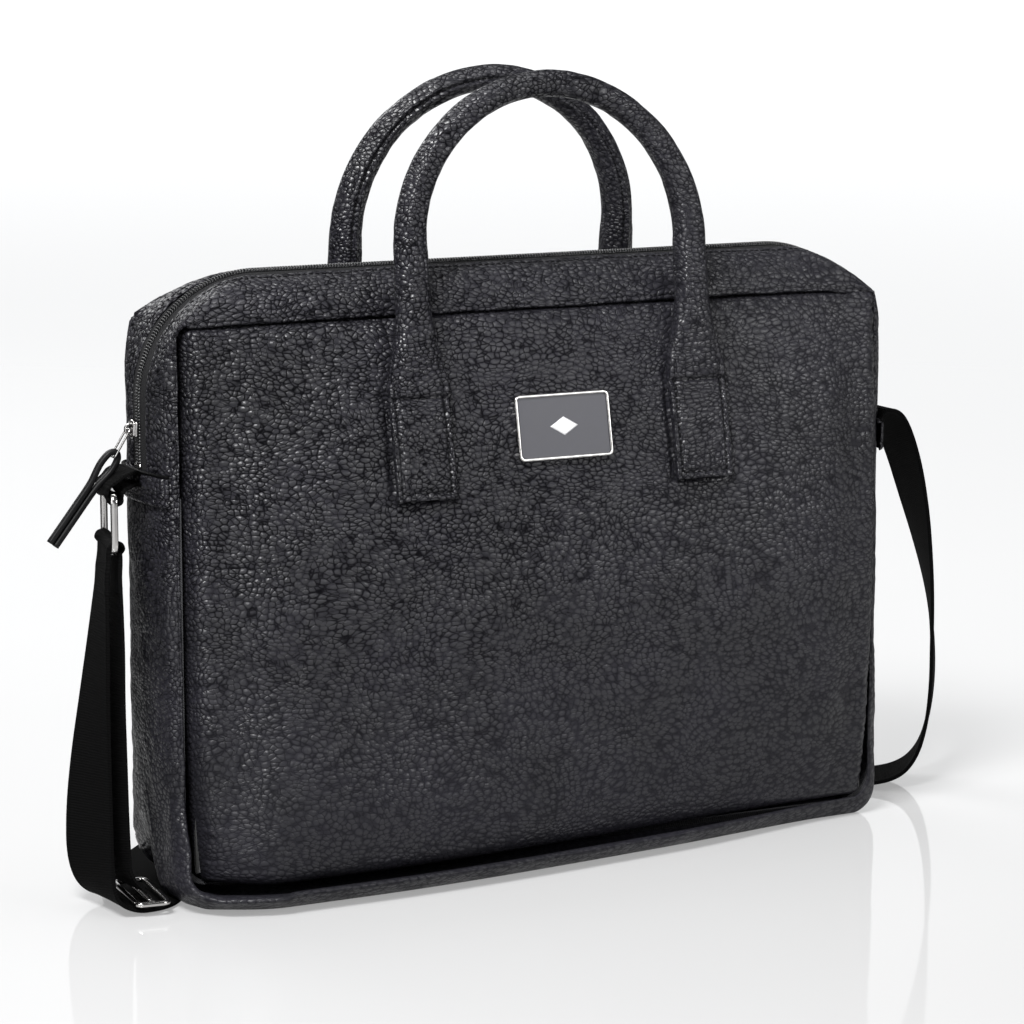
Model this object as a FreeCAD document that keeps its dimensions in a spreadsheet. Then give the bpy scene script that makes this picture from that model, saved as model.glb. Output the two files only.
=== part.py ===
"""Soft leather briefcase: two padded panels, a zipped gusset, two rolled handles and a webbing shoulder strap.

Millimetres. +X runs along the width, +Y to the back, +Z up. The origin is on the floor under the middle.
"""
import FreeCAD
import Part
import Sketcher

import math
import os

from FreeCAD import Placement, Rotation, Vector

doc = FreeCAD.newDocument("Briefcase")

# ---------------------------------------------------------------- driving dimensions

SIZES = {
    "seam_width": 385, "seam_low": 8, "seam_high": 279, "seam_depth": 56,
    "panel_bulge": 26, "side_bulge": 7.5, "ridge_high": 298,
    "seam_radius": 12, "top_radius": 60, "base_radius": 45, "base_trim": 0.3,
    "leather": 2, "lining": 0.6,
    "board_wide": 370, "board_tall": 256, "board_thick": 1.6,
    "base_long": 290, "base_wide": 30, "base_thick": 2.5,
    "divider_wide": 360, "divider_tall": 205, "divider_thick": 5, "divider_low": 20,
    "pocket_wide": 150, "pocket_tall": 110, "pocket_thick": 1.2,
    "zip_low": 206, "strip_gap": 9, "tape_thick": 0.7, "coil_wide": 5, "coil_thick": 3, "coil_proud": 0.6,
    "hem_tall": 13, "hem_thick": 1.2,
    "tab_wide": 31, "tab_low": 190.5, "fold_high": 238.5, "tab_thick": 3,
    "handle_pitch": 151, "handle_rise": 68, "sleeve_radius": 7.2, "core_radius": 5.4,
    "neck_low": 2, "neck_high": 36, "handle_lean": 6, "fold_front": 44, "fold_height": 240,
    "badge_wide": 51, "badge_tall": 31.5, "badge_thick": 2.6, "badge_rim": 1.4, "badge_height": 220,
    "plate_thick": 1.6, "emblem_wide": 15, "emblem_thick": 0.5, "badge_tilt": 12.2,
    "strap_wide": 37, "strap_thick": 1.8, "tab_web_wide": 36,
    "ring_wide": 41, "ring_tall": 27, "ring_bar": 1.6, "ring_turn": -14,
    "ring_out": 215, "ring_height": 198.5, "ring_play": 0.05,
    "buckle_long": 46, "buckle_wide": 18, "buckle_thick": 2.4, "buckle_bar": 3,
    "buckle_out": 208.5, "buckle_front": 16, "buckle_lift": 5.2, "buckle_turn": -5.7,
    "slider_high": 226, "slider_tall": 9, "slider_wide": 8, "slider_thick": 2.9,
    "link_out": 7.8, "link_drop": 12.5, "link_wide": 5, "link_wire": 0.5,
    "pull_long": 53, "pull_wide": 3.6, "pull_thick": 6.4, "pull_lean": 38,
}

sheet = doc.addObject("Spreadsheet::Sheet", "sizes")
for row, (alias, value) in enumerate(SIZES.items(), start=1):
    sheet.set(f"A{row}", alias)
    sheet.set(f"B{row}", str(value))
    sheet.setAlias(f"B{row}", alias)
doc.recompute()


def size(alias):
    """The sheet's value under an alias."""
    return float(sheet.get(alias))


NODES = []


def keep(thing, label):
    """Mark an object as a sub-part under its label."""
    thing.Label = label
    NODES.append(thing)
    return thing


def shaped(label, shape, place=None):
    """A sub-part whose form comes from Part's own functions."""
    thing = doc.addObject("Part::Feature", label)
    thing.Shape = shape
    if place:
        thing.Placement = place
    return keep(thing, label)


# ---------------------------------------------------------------- padded panels

# Shares of the bulge at which the panel's outline is drawn, from the seam to the crown.
CROWN_SHARES = (0, 0.06, 0.2, 0.42, 0.69, 0.88, 0.985)


def outline(half_wide, low, high, deep, top_radius, base_radius):
    """A rounded rectangle standing in the plane y = deep."""
    def corner(x, z, radius, start):
        angles = [math.radians(start + turn) for turn in (0, 45, 90)]
        return [Vector(x + radius * math.cos(a), deep, z + radius * math.sin(a)) for a in angles]

    corners = [
        corner(half_wide - top_radius, high - top_radius, top_radius, 0),
        corner(top_radius - half_wide, high - top_radius, top_radius, 90),
        corner(base_radius - half_wide, low + base_radius, base_radius, 180),
        corner(half_wide - base_radius, low + base_radius, base_radius, 270),
    ]
    edges = []
    for index, points in enumerate(corners):
        edges.append(Part.Arc(*points).toShape())
        edges.append(Part.makeLine(points[-1], corners[(index + 1) % 4][0]))
    return Part.Wire(edges)


def dome(inset, side):
    """The pillow that one panel encloses, drawn in by inset. side is -1 at the front and 1 at the back."""
    half_wide = size("seam_width") / 2 - inset
    half_tall = (size("seam_high") - size("seam_low")) / 2 - inset
    middle = (size("seam_high") + size("seam_low")) / 2
    wires = []
    for share in CROWN_SHARES:
        wide = half_wide * (1 - share) ** 0.25
        tall = half_tall * (1 - share) ** 0.5
        deep = side * (size("seam_depth") / 2 + (size("panel_bulge") - inset) * share)
        radius = min(size("seam_radius") + 60 * share, 0.8 * tall)
        wires.append(outline(wide, middle - tall, middle + tall, deep, radius, radius))
    return Part.makeLoft(wires, True, False)


def box(x, y, z):
    """A box between two limits on each axis."""
    low = Vector(x[0], y[0], z[0])
    return Part.makeBox(x[1] - x[0], y[1] - y[0], z[1] - z[0], low)


def panel(side_name, side):
    """The leather skin of one large face, and the foam behind it."""
    leather = size("leather")
    skin = dome(0, side).cut(dome(leather, side))
    shaped(f"{side_name}_panel", skin)
    shaped(f"{side_name}_padding", dome(leather, side))


def handle_tab(label, side, middle):
    """A leather tab sewn flat on a panel, under one leg of a handle."""
    layer = dome(-size("tab_thick") - 0.05, side).cut(dome(-0.05, side))
    reach = side * (size("seam_depth") / 2 + size("panel_bulge") + 10)
    half = size("tab_wide") / 2
    space = box((middle - half, middle + half), sorted((0, reach)), (size("tab_low"), size("fold_high")))
    shaped(label, layer.common(space))


# ---------------------------------------------------------------- gusset

# Depths at which the gusset's outline is drawn, as shares of half the seam depth.
GUSSET_SHARES = (-1, -0.93, -0.8, -0.6, -0.3, 0, 0.3, 0.6, 0.8, 0.93, 1)


def gusset_core(inset):
    """The solid that the gusset wraps, drawn in by inset."""
    wires = []
    for share in GUSSET_SHARES:
        rise = math.sqrt(1 - share ** 2)
        drop = min(1, (1 - abs(share)) / 0.4)
        half_wide = size("seam_width") / 2 + size("side_bulge") * rise - inset
        low = size("seam_low") * (1 - drop) - size("base_trim") + inset
        high = size("seam_high") + (size("ridge_high") - size("seam_high")) * rise - inset
        top_radius = size("seam_radius") + (size("top_radius") - size("seam_radius")) * rise - inset
        base_radius = size("seam_radius") + (size("base_radius") - size("seam_radius")) * rise - inset
        deep = share * size("seam_depth") / 2
        wires.append(outline(half_wide, low, high, deep, top_radius, base_radius))
    return Part.makeLoft(wires, True, True)


def band(outer, inner, space):
    """The gusset layer between two insets, kept inside a space. The floor trims its base flat."""
    return gusset_core(outer).cut(gusset_core(inner)).common(space)


def gusset():
    """The lower leather wrap, the two top strips, their hems, the zip's tapes and the wrap's lining."""
    leather = size("leather")
    far = size("seam_width")
    zip_low = size("zip_low")
    gap = size("strip_gap")
    half_deep = size("seam_depth") / 2
    whole = (-far, far)
    shaped("lower_gusset", band(0, leather, box(whole, (-half_deep, half_deep), (0, zip_low))))
    lining = leather + size("lining")
    lining_high = zip_low - 10
    shaped("gusset_lining", band(leather, lining, box(whole, (-half_deep, half_deep), (0, lining_high))))
    tape_out = leather + 0.05
    tape_in = tape_out + size("tape_thick")
    tape_edge = size("coil_wide") / 2 + 0.1
    for name, side in (("front", -1), ("rear", 1)):
        strip = sorted((side * gap, side * half_deep))
        shaped(f"{name}_top_gusset", band(0, leather, box(whole, strip, (zip_low + 0.1, far))))
        tape = sorted((side * tape_edge, side * 20))
        shaped(f"zip_tape_{name}", band(tape_out, tape_in, box(whole, tape, (zip_low - 6, far))))
    hem_low = zip_low - size("hem_tall")
    for name, reach in (("left", (-far, 0)), ("right", (0, far))):
        hem = band(-size("hem_thick"), 0, box(reach, (-27, 27), (hem_low, zip_low)))
        shaped(f"side_hem_{name}", hem)


# ---------------------------------------------------------------- flat sewn-in pieces

def origin_plane(body, role):
    """A body's own origin plane."""
    return next(item for item in body.Origin.OriginFeatures if item.Role == role)


def rectangle(sketch, wide, tall, name):
    """A centred rectangle whose sides follow two sheet expressions."""
    first = sketch.GeometryCount
    points = [(-5, -5), (5, -5), (5, 5), (-5, 5)]
    for start, end in zip(points, points[1:] + points[:1]):
        sketch.addGeometry(Part.LineSegment(Vector(*start, 0), Vector(*end, 0)), False)
    for index in range(4):
        following = first + (index + 1) % 4
        sketch.addConstraint(Sketcher.Constraint("Coincident", first + index, 2, following, 1))
    for index in (0, 2):
        sketch.addConstraint(Sketcher.Constraint("Horizontal", first + index))
        sketch.addConstraint(Sketcher.Constraint("Vertical", first + index + 1))
    sketch.addConstraint(Sketcher.Constraint("Symmetric", first, 1, first + 1, 2, -1, 1))
    across = sketch.addConstraint(Sketcher.Constraint("DistanceX", first, 1, first, 2, 10))
    sketch.renameConstraint(across, f"{name}_wide")
    sketch.setExpression(f"Constraints.{name}_wide", wide)
    along = sketch.addConstraint(Sketcher.Constraint("DistanceY", first + 1, 1, first + 1, 2, 10))
    sketch.renameConstraint(along, f"{name}_tall")
    sketch.setExpression(f"Constraints.{name}_tall", tall)


def plate(label, role, wide, tall, thick, place, hole=None):
    """A rectangular plate padded both ways from an origin plane, with an optional rectangular hole."""
    body = doc.addObject("PartDesign::Body", label)
    sketch = body.newObject("Sketcher::SketchObject", f"{label}_outline")
    sketch.AttachmentSupport = (origin_plane(body, role), [""])
    sketch.MapMode = "FlatFace"
    rectangle(sketch, wide, tall, "outer")
    if hole:
        rectangle(sketch, hole[0], hole[1], "inner")
    doc.recompute()
    pad = body.newObject("PartDesign::Pad", f"{label}_pad")
    pad.Profile = sketch
    pad.SideType = "Symmetric"
    pad.setExpression("Length", thick)
    body.Placement = place
    return keep(body, label)


def at(x, y, z, turn=None):
    """A placement at a point, with an optional rotation."""
    return Placement(Vector(x, y, z), turn or Rotation())


def inside_boards():
    """Stiffening boards and lining sheets behind both panels."""
    middle = (size("seam_high") + size("seam_low")) / 2
    face = size("seam_depth") / 2
    board = size("board_thick")
    sheet_thick = size("lining")
    for name, side in (("front", -1), ("rear", 1)):
        board_y = side * (face - board / 2)
        plate(f"{name}_stiffener", "XZ_Plane", "sizes.board_wide", "sizes.board_tall", "sizes.board_thick",
              at(0, board_y, middle))
        lining_y = side * (face - board - sheet_thick / 2)
        plate(f"{name}_lining", "XZ_Plane", "sizes.board_wide", "sizes.board_tall", "sizes.lining",
              at(0, lining_y, middle))
    floor = size("leather") + size("lining")
    plate("base_board", "XY_Plane", "sizes.base_long", "sizes.base_wide", "sizes.base_thick",
          at(0, 0, floor + size("base_thick") / 2 + 0.1))
    plate("laptop_divider", "XZ_Plane", "sizes.divider_wide", "sizes.divider_tall", "sizes.divider_thick",
          at(0, 4, size("divider_low") + size("divider_tall") / 2))
    pocket_y = face - board - sheet_thick - size("pocket_thick") / 2
    plate("inner_pocket", "XZ_Plane", "sizes.pocket_wide", "sizes.pocket_tall", "sizes.pocket_thick",
          at(0, pocket_y, 175))


def badge():
    """A framed metal badge on the front panel, with a plain lozenge in the middle."""
    tilt = Rotation(Vector(1, 0, 0), -size("badge_tilt"))
    middle = (size("seam_high") + size("seam_low")) / 2
    half_tall = (size("seam_high") - size("seam_low")) / 2
    share = 1 - ((size("badge_height") - middle) / half_tall) ** 2
    face = -(size("seam_depth") / 2 + size("panel_bulge") * share + 0.5)
    foot = Vector(0, face, size("badge_height"))

    def layer(start, thick):
        return Placement(foot + tilt.multVec(Vector(0, -start - thick / 2, 0)), tilt)

    plate("badge_frame", "XZ_Plane", "sizes.badge_wide", "sizes.badge_tall", "sizes.badge_thick",
          layer(0, size("badge_thick")),
          ("sizes.badge_wide - 2 * sizes.badge_rim", "sizes.badge_tall - 2 * sizes.badge_rim"))
    plate("badge_plate", "XZ_Plane", "sizes.badge_wide - 2 * sizes.badge_rim",
          "sizes.badge_tall - 2 * sizes.badge_rim", "sizes.plate_thick", layer(0, size("plate_thick")))
    half = size("emblem_wide") / 2
    corners = [Vector(half, 0, 0), Vector(0, 0, half * 0.6), Vector(-half, 0, 0), Vector(0, 0, -half * 0.6)]
    lozenge = Part.Face(Part.makePolygon(corners + corners[:1]))
    solid = lozenge.extrude(Vector(0, -size("emblem_thick"), 0))
    shaped("badge_emblem", solid, layer(size("plate_thick"), 0))


# ---------------------------------------------------------------- zip

def coil_path(inset, start_height):
    """The zip's line round the top of the bag, as one open wire at an inset from the ridge."""
    half = size("seam_width") / 2 + size("side_bulge") - inset
    high = size("ridge_high") - inset
    radius = size("top_radius") - inset
    turn = radius * (1 - math.sqrt(0.5))
    left_mid = Vector(-half + turn, 0, high - turn)
    right_mid = Vector(half - turn, 0, high - turn)
    edges = [
        Part.makeLine(Vector(-half, 0, start_height), Vector(-half, 0, high - radius)),
        Part.Arc(Vector(-half, 0, high - radius), left_mid, Vector(radius - half, 0, high)).toShape(),
        Part.makeLine(Vector(radius - half, 0, high), Vector(half - radius, 0, high)),
        Part.Arc(Vector(half - radius, 0, high), right_mid, Vector(half, 0, high - radius)).toShape(),
        Part.makeLine(Vector(half, 0, high - radius), Vector(half, 0, start_height)),
    ]
    return edges


def zip_parts():
    """The closed coil and its two end stops."""
    start = size("zip_low") + 4
    proud = size("coil_proud")
    outer = coil_path(-proud, start)
    inner = coil_path(size("coil_thick") - proud, start)
    left_end = Part.makeLine(inner[0].Vertexes[0].Point, outer[0].Vertexes[0].Point)
    right_end = Part.makeLine(outer[-1].Vertexes[-1].Point, inner[-1].Vertexes[-1].Point)
    profile = Part.Face(Part.Wire(Part.__sortEdges__([*outer, right_end, *inner, left_end])))
    coil = profile.extrude(Vector(0, size("coil_wide"), 0))
    shaped("zip_coil", coil, at(0, -size("coil_wide") / 2, 0))
    out = size("seam_width") / 2 + size("side_bulge")
    for name, side in (("left", -1), ("right", 1)):
        stop = doc.addObject("Part::Box", f"zip_stop_{name}")
        stop.setExpression("Length", "sizes.coil_thick - 1")
        stop.setExpression("Width", "sizes.coil_wide + 2")
        stop.Height = 3
        low_x = min(side * (out + proud), side * (out + proud - size("coil_thick") + 1))
        stop.Placement = at(low_x, -size("coil_wide") / 2 - 1, size("zip_low") + 0.5)
        keep(stop, f"zip_stop_{name}")


def wire_loop(half_wide, length, wire):
    """A long wire loop in the YZ plane, from z = 0 down to z = -length."""
    bend = 1.2
    low = -length
    corners = [(half_wide, 0), (-half_wide, 0), (-half_wide, low), (half_wide, low)]
    return swept_rectangle(corners, bend, wire)


def swept_rectangle(corners, bend, wire):
    """A round bar swept round a rectangle of (y, z) corners with bent corners."""
    edges = []
    count = len(corners)
    starts = []
    for index in range(count):
        here = Vector(0, *corners[index])
        before = Vector(0, *corners[index - 1])
        after = Vector(0, *corners[(index + 1) % count])
        to_before = (before - here).normalize() * bend
        to_after = (after - here).normalize() * bend
        centre = here + to_before + to_after
        middle = centre + (here - centre).normalize() * bend
        starts.append((here + to_before, middle, here + to_after))
    for index, (start, middle, end) in enumerate(starts):
        edges.append(Part.Arc(start, middle, end).toShape())
        edges.append(Part.makeLine(end, starts[(index + 1) % count][0]))
    first = starts[0][2]
    along = starts[1][0] - first
    profile = Part.Wire(Part.makeCircle(wire, first, along))
    bar = Part.Wire(edges).makePipeShell([profile], True, False, 2)
    if bar.ShapeType != "Solid":
        bar = Part.makeSolid(bar.Shells[0])
    return bar


def slider_parts():
    """The zip's slider body with its crown, the wire link and the leather pull."""
    high = size("slider_high")
    coil_out = size("seam_width") / 2 + size("side_bulge") + size("coil_proud")
    thick = size("slider_thick")
    wide = size("slider_wide")
    tall = size("slider_tall")
    body_in = -coil_out - 0.3
    body = box((body_in - thick, body_in), (-wide / 2, wide / 2), (high - tall / 2, high + tall / 2))
    crown_x = body_in - thick
    crown = Part.makeTorus(2.4, 0.7, Vector(crown_x, 0, high), Vector(0, 1, 0))
    crown = crown.common(box((crown_x - 5, crown_x + 0.5), (-2, 2), (high - 5, high + 5)))
    shaped("zip_slider", body.fuse(crown).removeSplitter())
    pivot = Vector(crown_x - 0.9, 0, high)
    length = math.hypot(size("link_out"), size("link_drop"))
    lean = math.degrees(math.atan2(size("link_out"), size("link_drop")))
    link = wire_loop(size("link_wide") / 2, length, size("link_wire"))
    shaped("zip_link", link, Placement(pivot, Rotation(Vector(0, 1, 0), lean)))
    pull_pivot = pivot + Vector(-size("link_out"), 0, -size("link_drop"))
    half_thick = size("pull_thick") / 2
    half_wide = size("pull_wide") / 2
    strip = box((-half_thick, half_thick), (-half_wide, half_wide), (3 - size("pull_long"), 3))
    eye = Part.makeCylinder(1.6, 4 * half_wide, Vector(0, -2 * half_wide, 0), Vector(0, 1, 0))
    slot = box((-1.6, 1.6), (-2 * half_wide, 2 * half_wide), (-6, 0))
    pull = strip.cut(eye.fuse(slot))
    shaped("zip_pull", pull, Placement(pull_pivot, Rotation(Vector(0, 1, 0), size("pull_lean"))))


# ---------------------------------------------------------------- handles

def oval(half_wide, half_thick, height, middle):
    """An oval section of a handle's leg."""
    if half_wide - half_thick < 0.01:
        return Part.Wire(Part.makeCircle(half_thick, Vector(middle, 0, height)))
    ellipse = Part.Ellipse(Vector(middle, 0, height), half_wide, half_thick)
    return Part.Wire(ellipse.toShape())


def arch(radius, start):
    """A round bar up one leg, over the top and down the other."""
    half = size("handle_pitch") / 2
    rise = size("handle_rise")
    edges = [
        Part.makeLine(Vector(-half, 0, start), Vector(-half, 0, rise)),
        Part.Arc(Vector(-half, 0, rise), Vector(0, 0, rise + half), Vector(half, 0, rise)).toShape(),
        Part.makeLine(Vector(half, 0, rise), Vector(half, 0, start)),
    ]
    profile = Part.Wire(Part.makeCircle(radius, Vector(-half, 0, start), Vector(0, 0, 1)))
    return Part.Wire(edges).makePipeShell([profile], True, True)


def handle(name, side):
    """A rolled leather handle round a rope core, leaning over the bag."""
    half = size("handle_pitch") / 2
    radius = size("sleeve_radius")
    low = size("neck_low")
    high = size("neck_high")
    sleeve = arch(radius, high).cut(arch(size("core_radius"), high + 4))
    for middle in (-half, half):
        sections = ((15, 2.2, low), (12, 4.4, (low + high) / 2), (radius, radius, high))
        ovals = [oval(half_wide, half_thick, height, middle) for half_wide, half_thick, height in sections]
        sleeve = sleeve.fuse(Part.makeLoft(ovals, True, False))
    turn = Rotation(Vector(1, 0, 0), side * size("handle_lean"))
    place = Placement(Vector(0, side * size("fold_front"), size("fold_height")), turn)
    shaped(f"{name}_handle_sleeve", sleeve, place)
    shaped(f"{name}_handle_core", arch(size("core_radius"), high + 4), place)


# ---------------------------------------------------------------- ring, shoulder strap and its buckle

# The webbing tab's middle line from the bag's side to the ring: x, z, and its share of the ring's turn.
RING_TAB_ROUTE = [(-201.3, 203.2, 0), (-206, 204.6, 0.3), (-210.5, 203.6, 0.7), (-214.6, 200.4, 1)]


def ring_place(height):
    """The ring's own frame: its bar along local Y, turned with the strap."""
    return Placement(Vector(-size("ring_out"), 0, height), Rotation(Vector(0, 0, 1), size("ring_turn")))


def ring_parts():
    """The webbing tab with its bearing, the rectangular ring and the strap's loop round the lower bar."""
    crook = size("ring_bar") + 0.3
    top = size("ring_height")
    half_web = size("tab_web_wide") / 2
    bar = size("ring_bar")
    bore = bar + size("ring_play")
    half = size("ring_wide") / 2
    low = -size("ring_tall")
    ring = swept_rectangle([(half, 0), (-half, 0), (-half, low), (half, low)], crook, bar)
    shaped("strap_ring", ring, ring_place(top))
    shell = Part.makeCylinder(bore + 1.5, 2 * half_web, Vector(0, -half_web, 0), Vector(0, 1, 0))
    shell.Placement = ring_place(top)
    turn = math.radians(size("ring_turn"))
    wires = []
    for x, z, share in RING_TAB_ROUTE:
        across = Vector(-math.sin(turn * share), math.cos(turn * share), 0) * half_web
        centre = Vector(x, 0, z)
        up = Vector(0, 0, 1.4)
        corners = [centre - across - up, centre + across - up, centre + across + up, centre - across + up]
        wires.append(Part.makePolygon(corners + corners[:1]))
    web = Part.makeLoft(wires, True, True)
    hole = Part.makeCylinder(bore, 4 * half_web, Vector(0, -2 * half_web, 0), Vector(0, 1, 0))
    hole.Placement = ring_place(top)
    shaped("ring_tab", web.fuse(shell).cut(hole))
    loop_out = bore + size("strap_thick")
    loop = Part.makeCylinder(loop_out, 2 * half_web, Vector(0, -half_web, 0), Vector(0, 1, 0))
    loop = loop.fuse(box((-loop_out, loop_out), (-half_web, half_web), (-9, 0)))
    slot = Part.makeCylinder(bore, 4 * half_web, Vector(0, -2 * half_web, 0), Vector(0, 1, 0))
    slot = slot.fuse(box((-bore, bore), (-2 * half_web, 2 * half_web), (-12, 0)))
    shaped("strap_end_loop", loop.cut(slot), ring_place(top - size("ring_tall")))


# The strap's route from its sewn end on the right side, over the floor behind the bag, to the left ring:
# x, y, z of the middle of the webbing, and how far its width is turned from the Y axis, in degrees.
STRAP_ROUTE = [
    (203.5, 0, 210, 0), (210, 0, 210.8, 0), (217.5, 0, 204, 0), (227, 0.5, 183, -4), (235, 2, 158, -10),
    (242, 4, 134, -19), (249, 7, 108, -28), (253.5, 10, 84, -34), (256.5, 13, 58, -36), (256, 16, 35, -36),
    (252, 19, 17, -36), (243, 24, 6, -34), (226, 33, 2.4, -32), (203, 45, 2, -29), (172, 60, 2, -26),
    (140, 75, 2, -23), (104, 89, 2, -18), (68, 98, 2, -13), (30, 105, 2, -8), (-8, 109, 2, -3),
    (-46, 110, 2, 2), (-84, 106, 2, 10), (-118, 96, 2, 22), (-146, 80, 2, 36), (-166, 60, 2, 50),
    (-181.5, 40, 2, 58), (-194, 23.3, 2, 62), (-201, 4.5, 2, 58), (-203.5, -9, 2, 34), (-209, -15, 2, 6),
    (-219, -16.5, 2.6, 3), (-229, -16, 8, 8), (-233, -14, 22, 15), (-232, -11, 46, 14), (-229.5, -8, 72, 8),
    (-226, -5, 99, 0), (-222.5, -3, 128, -7), (-219.6, -1, 154, -13),
]

# The short second strand, from the ring down to the buckle.
RETURN_ROUTE = [
    (-212.5, 0.5, 154, -13), (-214.5, -2, 128, -7), (-218, -4, 99, 0), (-221, -7, 72, 8), (-223.2, -10, 46, 13),
    (-223.5, -13, 26, 13), (-219.5, -15, 15, 8), (-211, -16, 9.6, 5),
]


def webbing(route):
    """A flat strap through a route of middles and turns."""
    middles = [Vector(x, y, z) for x, y, z, turn in route]
    wires = []
    for index, (x, y, z, turn) in enumerate(route):
        before = middles[max(index - 1, 0)]
        after = middles[min(index + 1, len(middles) - 1)]
        along = (after - before).normalize()
        across = Vector(-math.sin(math.radians(turn)), math.cos(math.radians(turn)), 0)
        across = (across - along * across.dot(along)).normalize()
        half_across = across * (size("strap_wide") / 2)
        half_up = along.cross(across) * (size("strap_thick") / 2)
        centre = middles[index]
        corners = [centre - half_across - half_up, centre + half_across - half_up,
                   centre + half_across + half_up, centre - half_across + half_up]
        wires.append(Part.makePolygon(corners + corners[:1]))
    length = sum((b - a).Length for a, b in zip(middles, middles[1:]))
    return Part.makeLoft(wires, True, True), length


def strap_parts():
    """The shoulder strap, its second strand, its sewn end and its adjuster buckle."""
    strap, length = webbing(STRAP_ROUTE)
    section = size("strap_wide") * size("strap_thick")
    print(f"strap {length:.0f} mm, volume share {strap.Volume / (section * length):.3f}")
    shaped("strap_webbing", strap)
    strand, length = webbing(RETURN_ROUTE)
    print(f"return strand {length:.0f} mm, volume share {strand.Volume / (section * length):.3f}")
    shaped("strap_return", strand)
    anchor = doc.addObject("Part::Box", "strap_anchor")
    anchor.Length = 1.6
    anchor.setExpression("Width", "sizes.tab_web_wide")
    anchor.Height = 4
    anchor.Placement = at(201.4, -size("tab_web_wide") / 2, 206.6)
    keep(anchor, "strap_anchor")
    long = size("buckle_long")
    wide = size("buckle_wide")
    thick = size("buckle_thick")
    bar = size("buckle_bar")
    frame = box((-wide / 2, wide / 2), (-long / 2, long / 2), (0, thick))
    window = wide / 2 - bar * 1.5
    for low in (-wide / 2 + bar, bar / 2):
        frame = frame.cut(box((low, low + window), (-long / 2 + bar, long / 2 - bar), (-1, thick + 1)))
    turn = Rotation(Vector(0, 0, 1), size("buckle_turn"))
    shaped("strap_buckle", frame, at(-size("buckle_out"), -size("buckle_front"), size("buckle_lift"), turn))


panel("front", -1)
panel("rear", 1)
gusset()
inside_boards()
badge()
zip_parts()
slider_parts()
for name, side in (("front", -1), ("rear", 1)):
    handle(name, side)
    for tab_side, share in (("left", -0.5), ("right", 0.5)):
        handle_tab(f"{name}_tab_{tab_side}", side, share * size("handle_pitch"))
ring_parts()
strap_parts()
doc.recompute()

# ---------------------------------------------------------------- checks and export

for thing in doc.Objects:
    if {"Invalid", "Error"} & set(thing.State):
        raise RuntimeError(f"{thing.Label} did not build: {thing.State}")
for node in NODES:
    if node.Shape.isNull() or not node.Shape.isValid() or node.Shape.Volume < 1:
        raise RuntimeError(f"{node.Label} has no valid shape")

os.makedirs("parts", exist_ok=True)
for node in NODES:
    node.Shape.exportStep(f"parts/{node.Label}.step")
    print(f"{node.Label:22s} solids {len(node.Shape.Solids)} volume {node.Shape.Volume / 1000:8.2f} cm3")
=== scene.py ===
"""Black pebbled leather briefcase: camera, light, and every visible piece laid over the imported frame.

Shapes are worked out in millimetres in the frame's own axes and written to Blender in metres.
"""

import math
from functools import reduce

import bpy
import numpy as np
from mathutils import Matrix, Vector


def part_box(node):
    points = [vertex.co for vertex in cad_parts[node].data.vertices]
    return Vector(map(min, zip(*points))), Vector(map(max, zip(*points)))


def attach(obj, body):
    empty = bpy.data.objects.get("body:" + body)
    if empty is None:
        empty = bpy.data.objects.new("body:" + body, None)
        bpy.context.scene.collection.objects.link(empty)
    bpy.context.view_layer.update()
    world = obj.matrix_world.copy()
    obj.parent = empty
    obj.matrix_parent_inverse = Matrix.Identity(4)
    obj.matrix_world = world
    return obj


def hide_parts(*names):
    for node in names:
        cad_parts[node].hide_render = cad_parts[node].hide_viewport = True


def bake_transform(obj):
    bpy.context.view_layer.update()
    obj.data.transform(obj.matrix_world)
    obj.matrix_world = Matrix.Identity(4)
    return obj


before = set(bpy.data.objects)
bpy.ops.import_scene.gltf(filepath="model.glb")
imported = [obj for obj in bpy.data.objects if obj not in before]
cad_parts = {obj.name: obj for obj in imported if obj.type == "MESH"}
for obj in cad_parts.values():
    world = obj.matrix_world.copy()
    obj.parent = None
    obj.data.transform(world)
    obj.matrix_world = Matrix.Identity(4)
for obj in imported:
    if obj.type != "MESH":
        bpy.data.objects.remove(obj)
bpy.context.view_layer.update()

MM = 0.001
X_AXIS, Y_AXIS, Z_AXIS = np.eye(3)

# ---------------------------------------------------------------- camera and light

# Name, place, target, width, height and power of each soft box.
SOFT_BOXES = [
    ("key", (-0.95, -0.85, 1.65), (0, 0, 0.19), 0.7, 0.5, 70),
    ("top", (0.15, 0.2, 1.5), (0, 0, 0.2), 1.4, 0.5, 9),
    ("left", (-1.5, -0.75, 0.75), (-0.1, 0, 0.15), 0.45, 0.9, 8),
    ("front", (0.95, -1.5, 0.80), (0.05, 0, 0.22), 0.9, 0.45, 13),
    ("right", (1.7, -0.6, 0.9), (0.1, 0, 0.15), 0.25, 0.9, 2),
    ("back", (-0.4, 1.7, 1.3), (0, 0, 0.15), 1.2, 0.7, 16),
]
# The room's two white ends stand along this direction, fixed in the room.
ROOM_AXIS = (0.454, 0.891, 0)
ROOM_DIM = 0.085
# A matt black card on the floor behind the bag, seen only in reflections.
CARD_CORNERS = [(-0.10, 1.12), (-0.19, 0.73), (-0.40, 0.06), (-1.3, -0.3), (-2.2, 1.2), (-0.6, 2.4)]
CARD_HEIGHT = 0.001


def camera():
    """A long lens at the photograph's viewing angle."""
    data = bpy.data.cameras.new("camera")
    data.lens = 128.9
    data.sensor_width = 36
    data.clip_end = 20
    seen_from = bpy.data.objects.new("camera", data)
    seen_from.location = (-0.8157, -1.5952, 0.4817)
    seen_from.rotation_euler = (math.radians(80.147), 0, math.radians(-27))
    bpy.context.collection.objects.link(seen_from)
    bpy.context.scene.camera = seen_from


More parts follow.
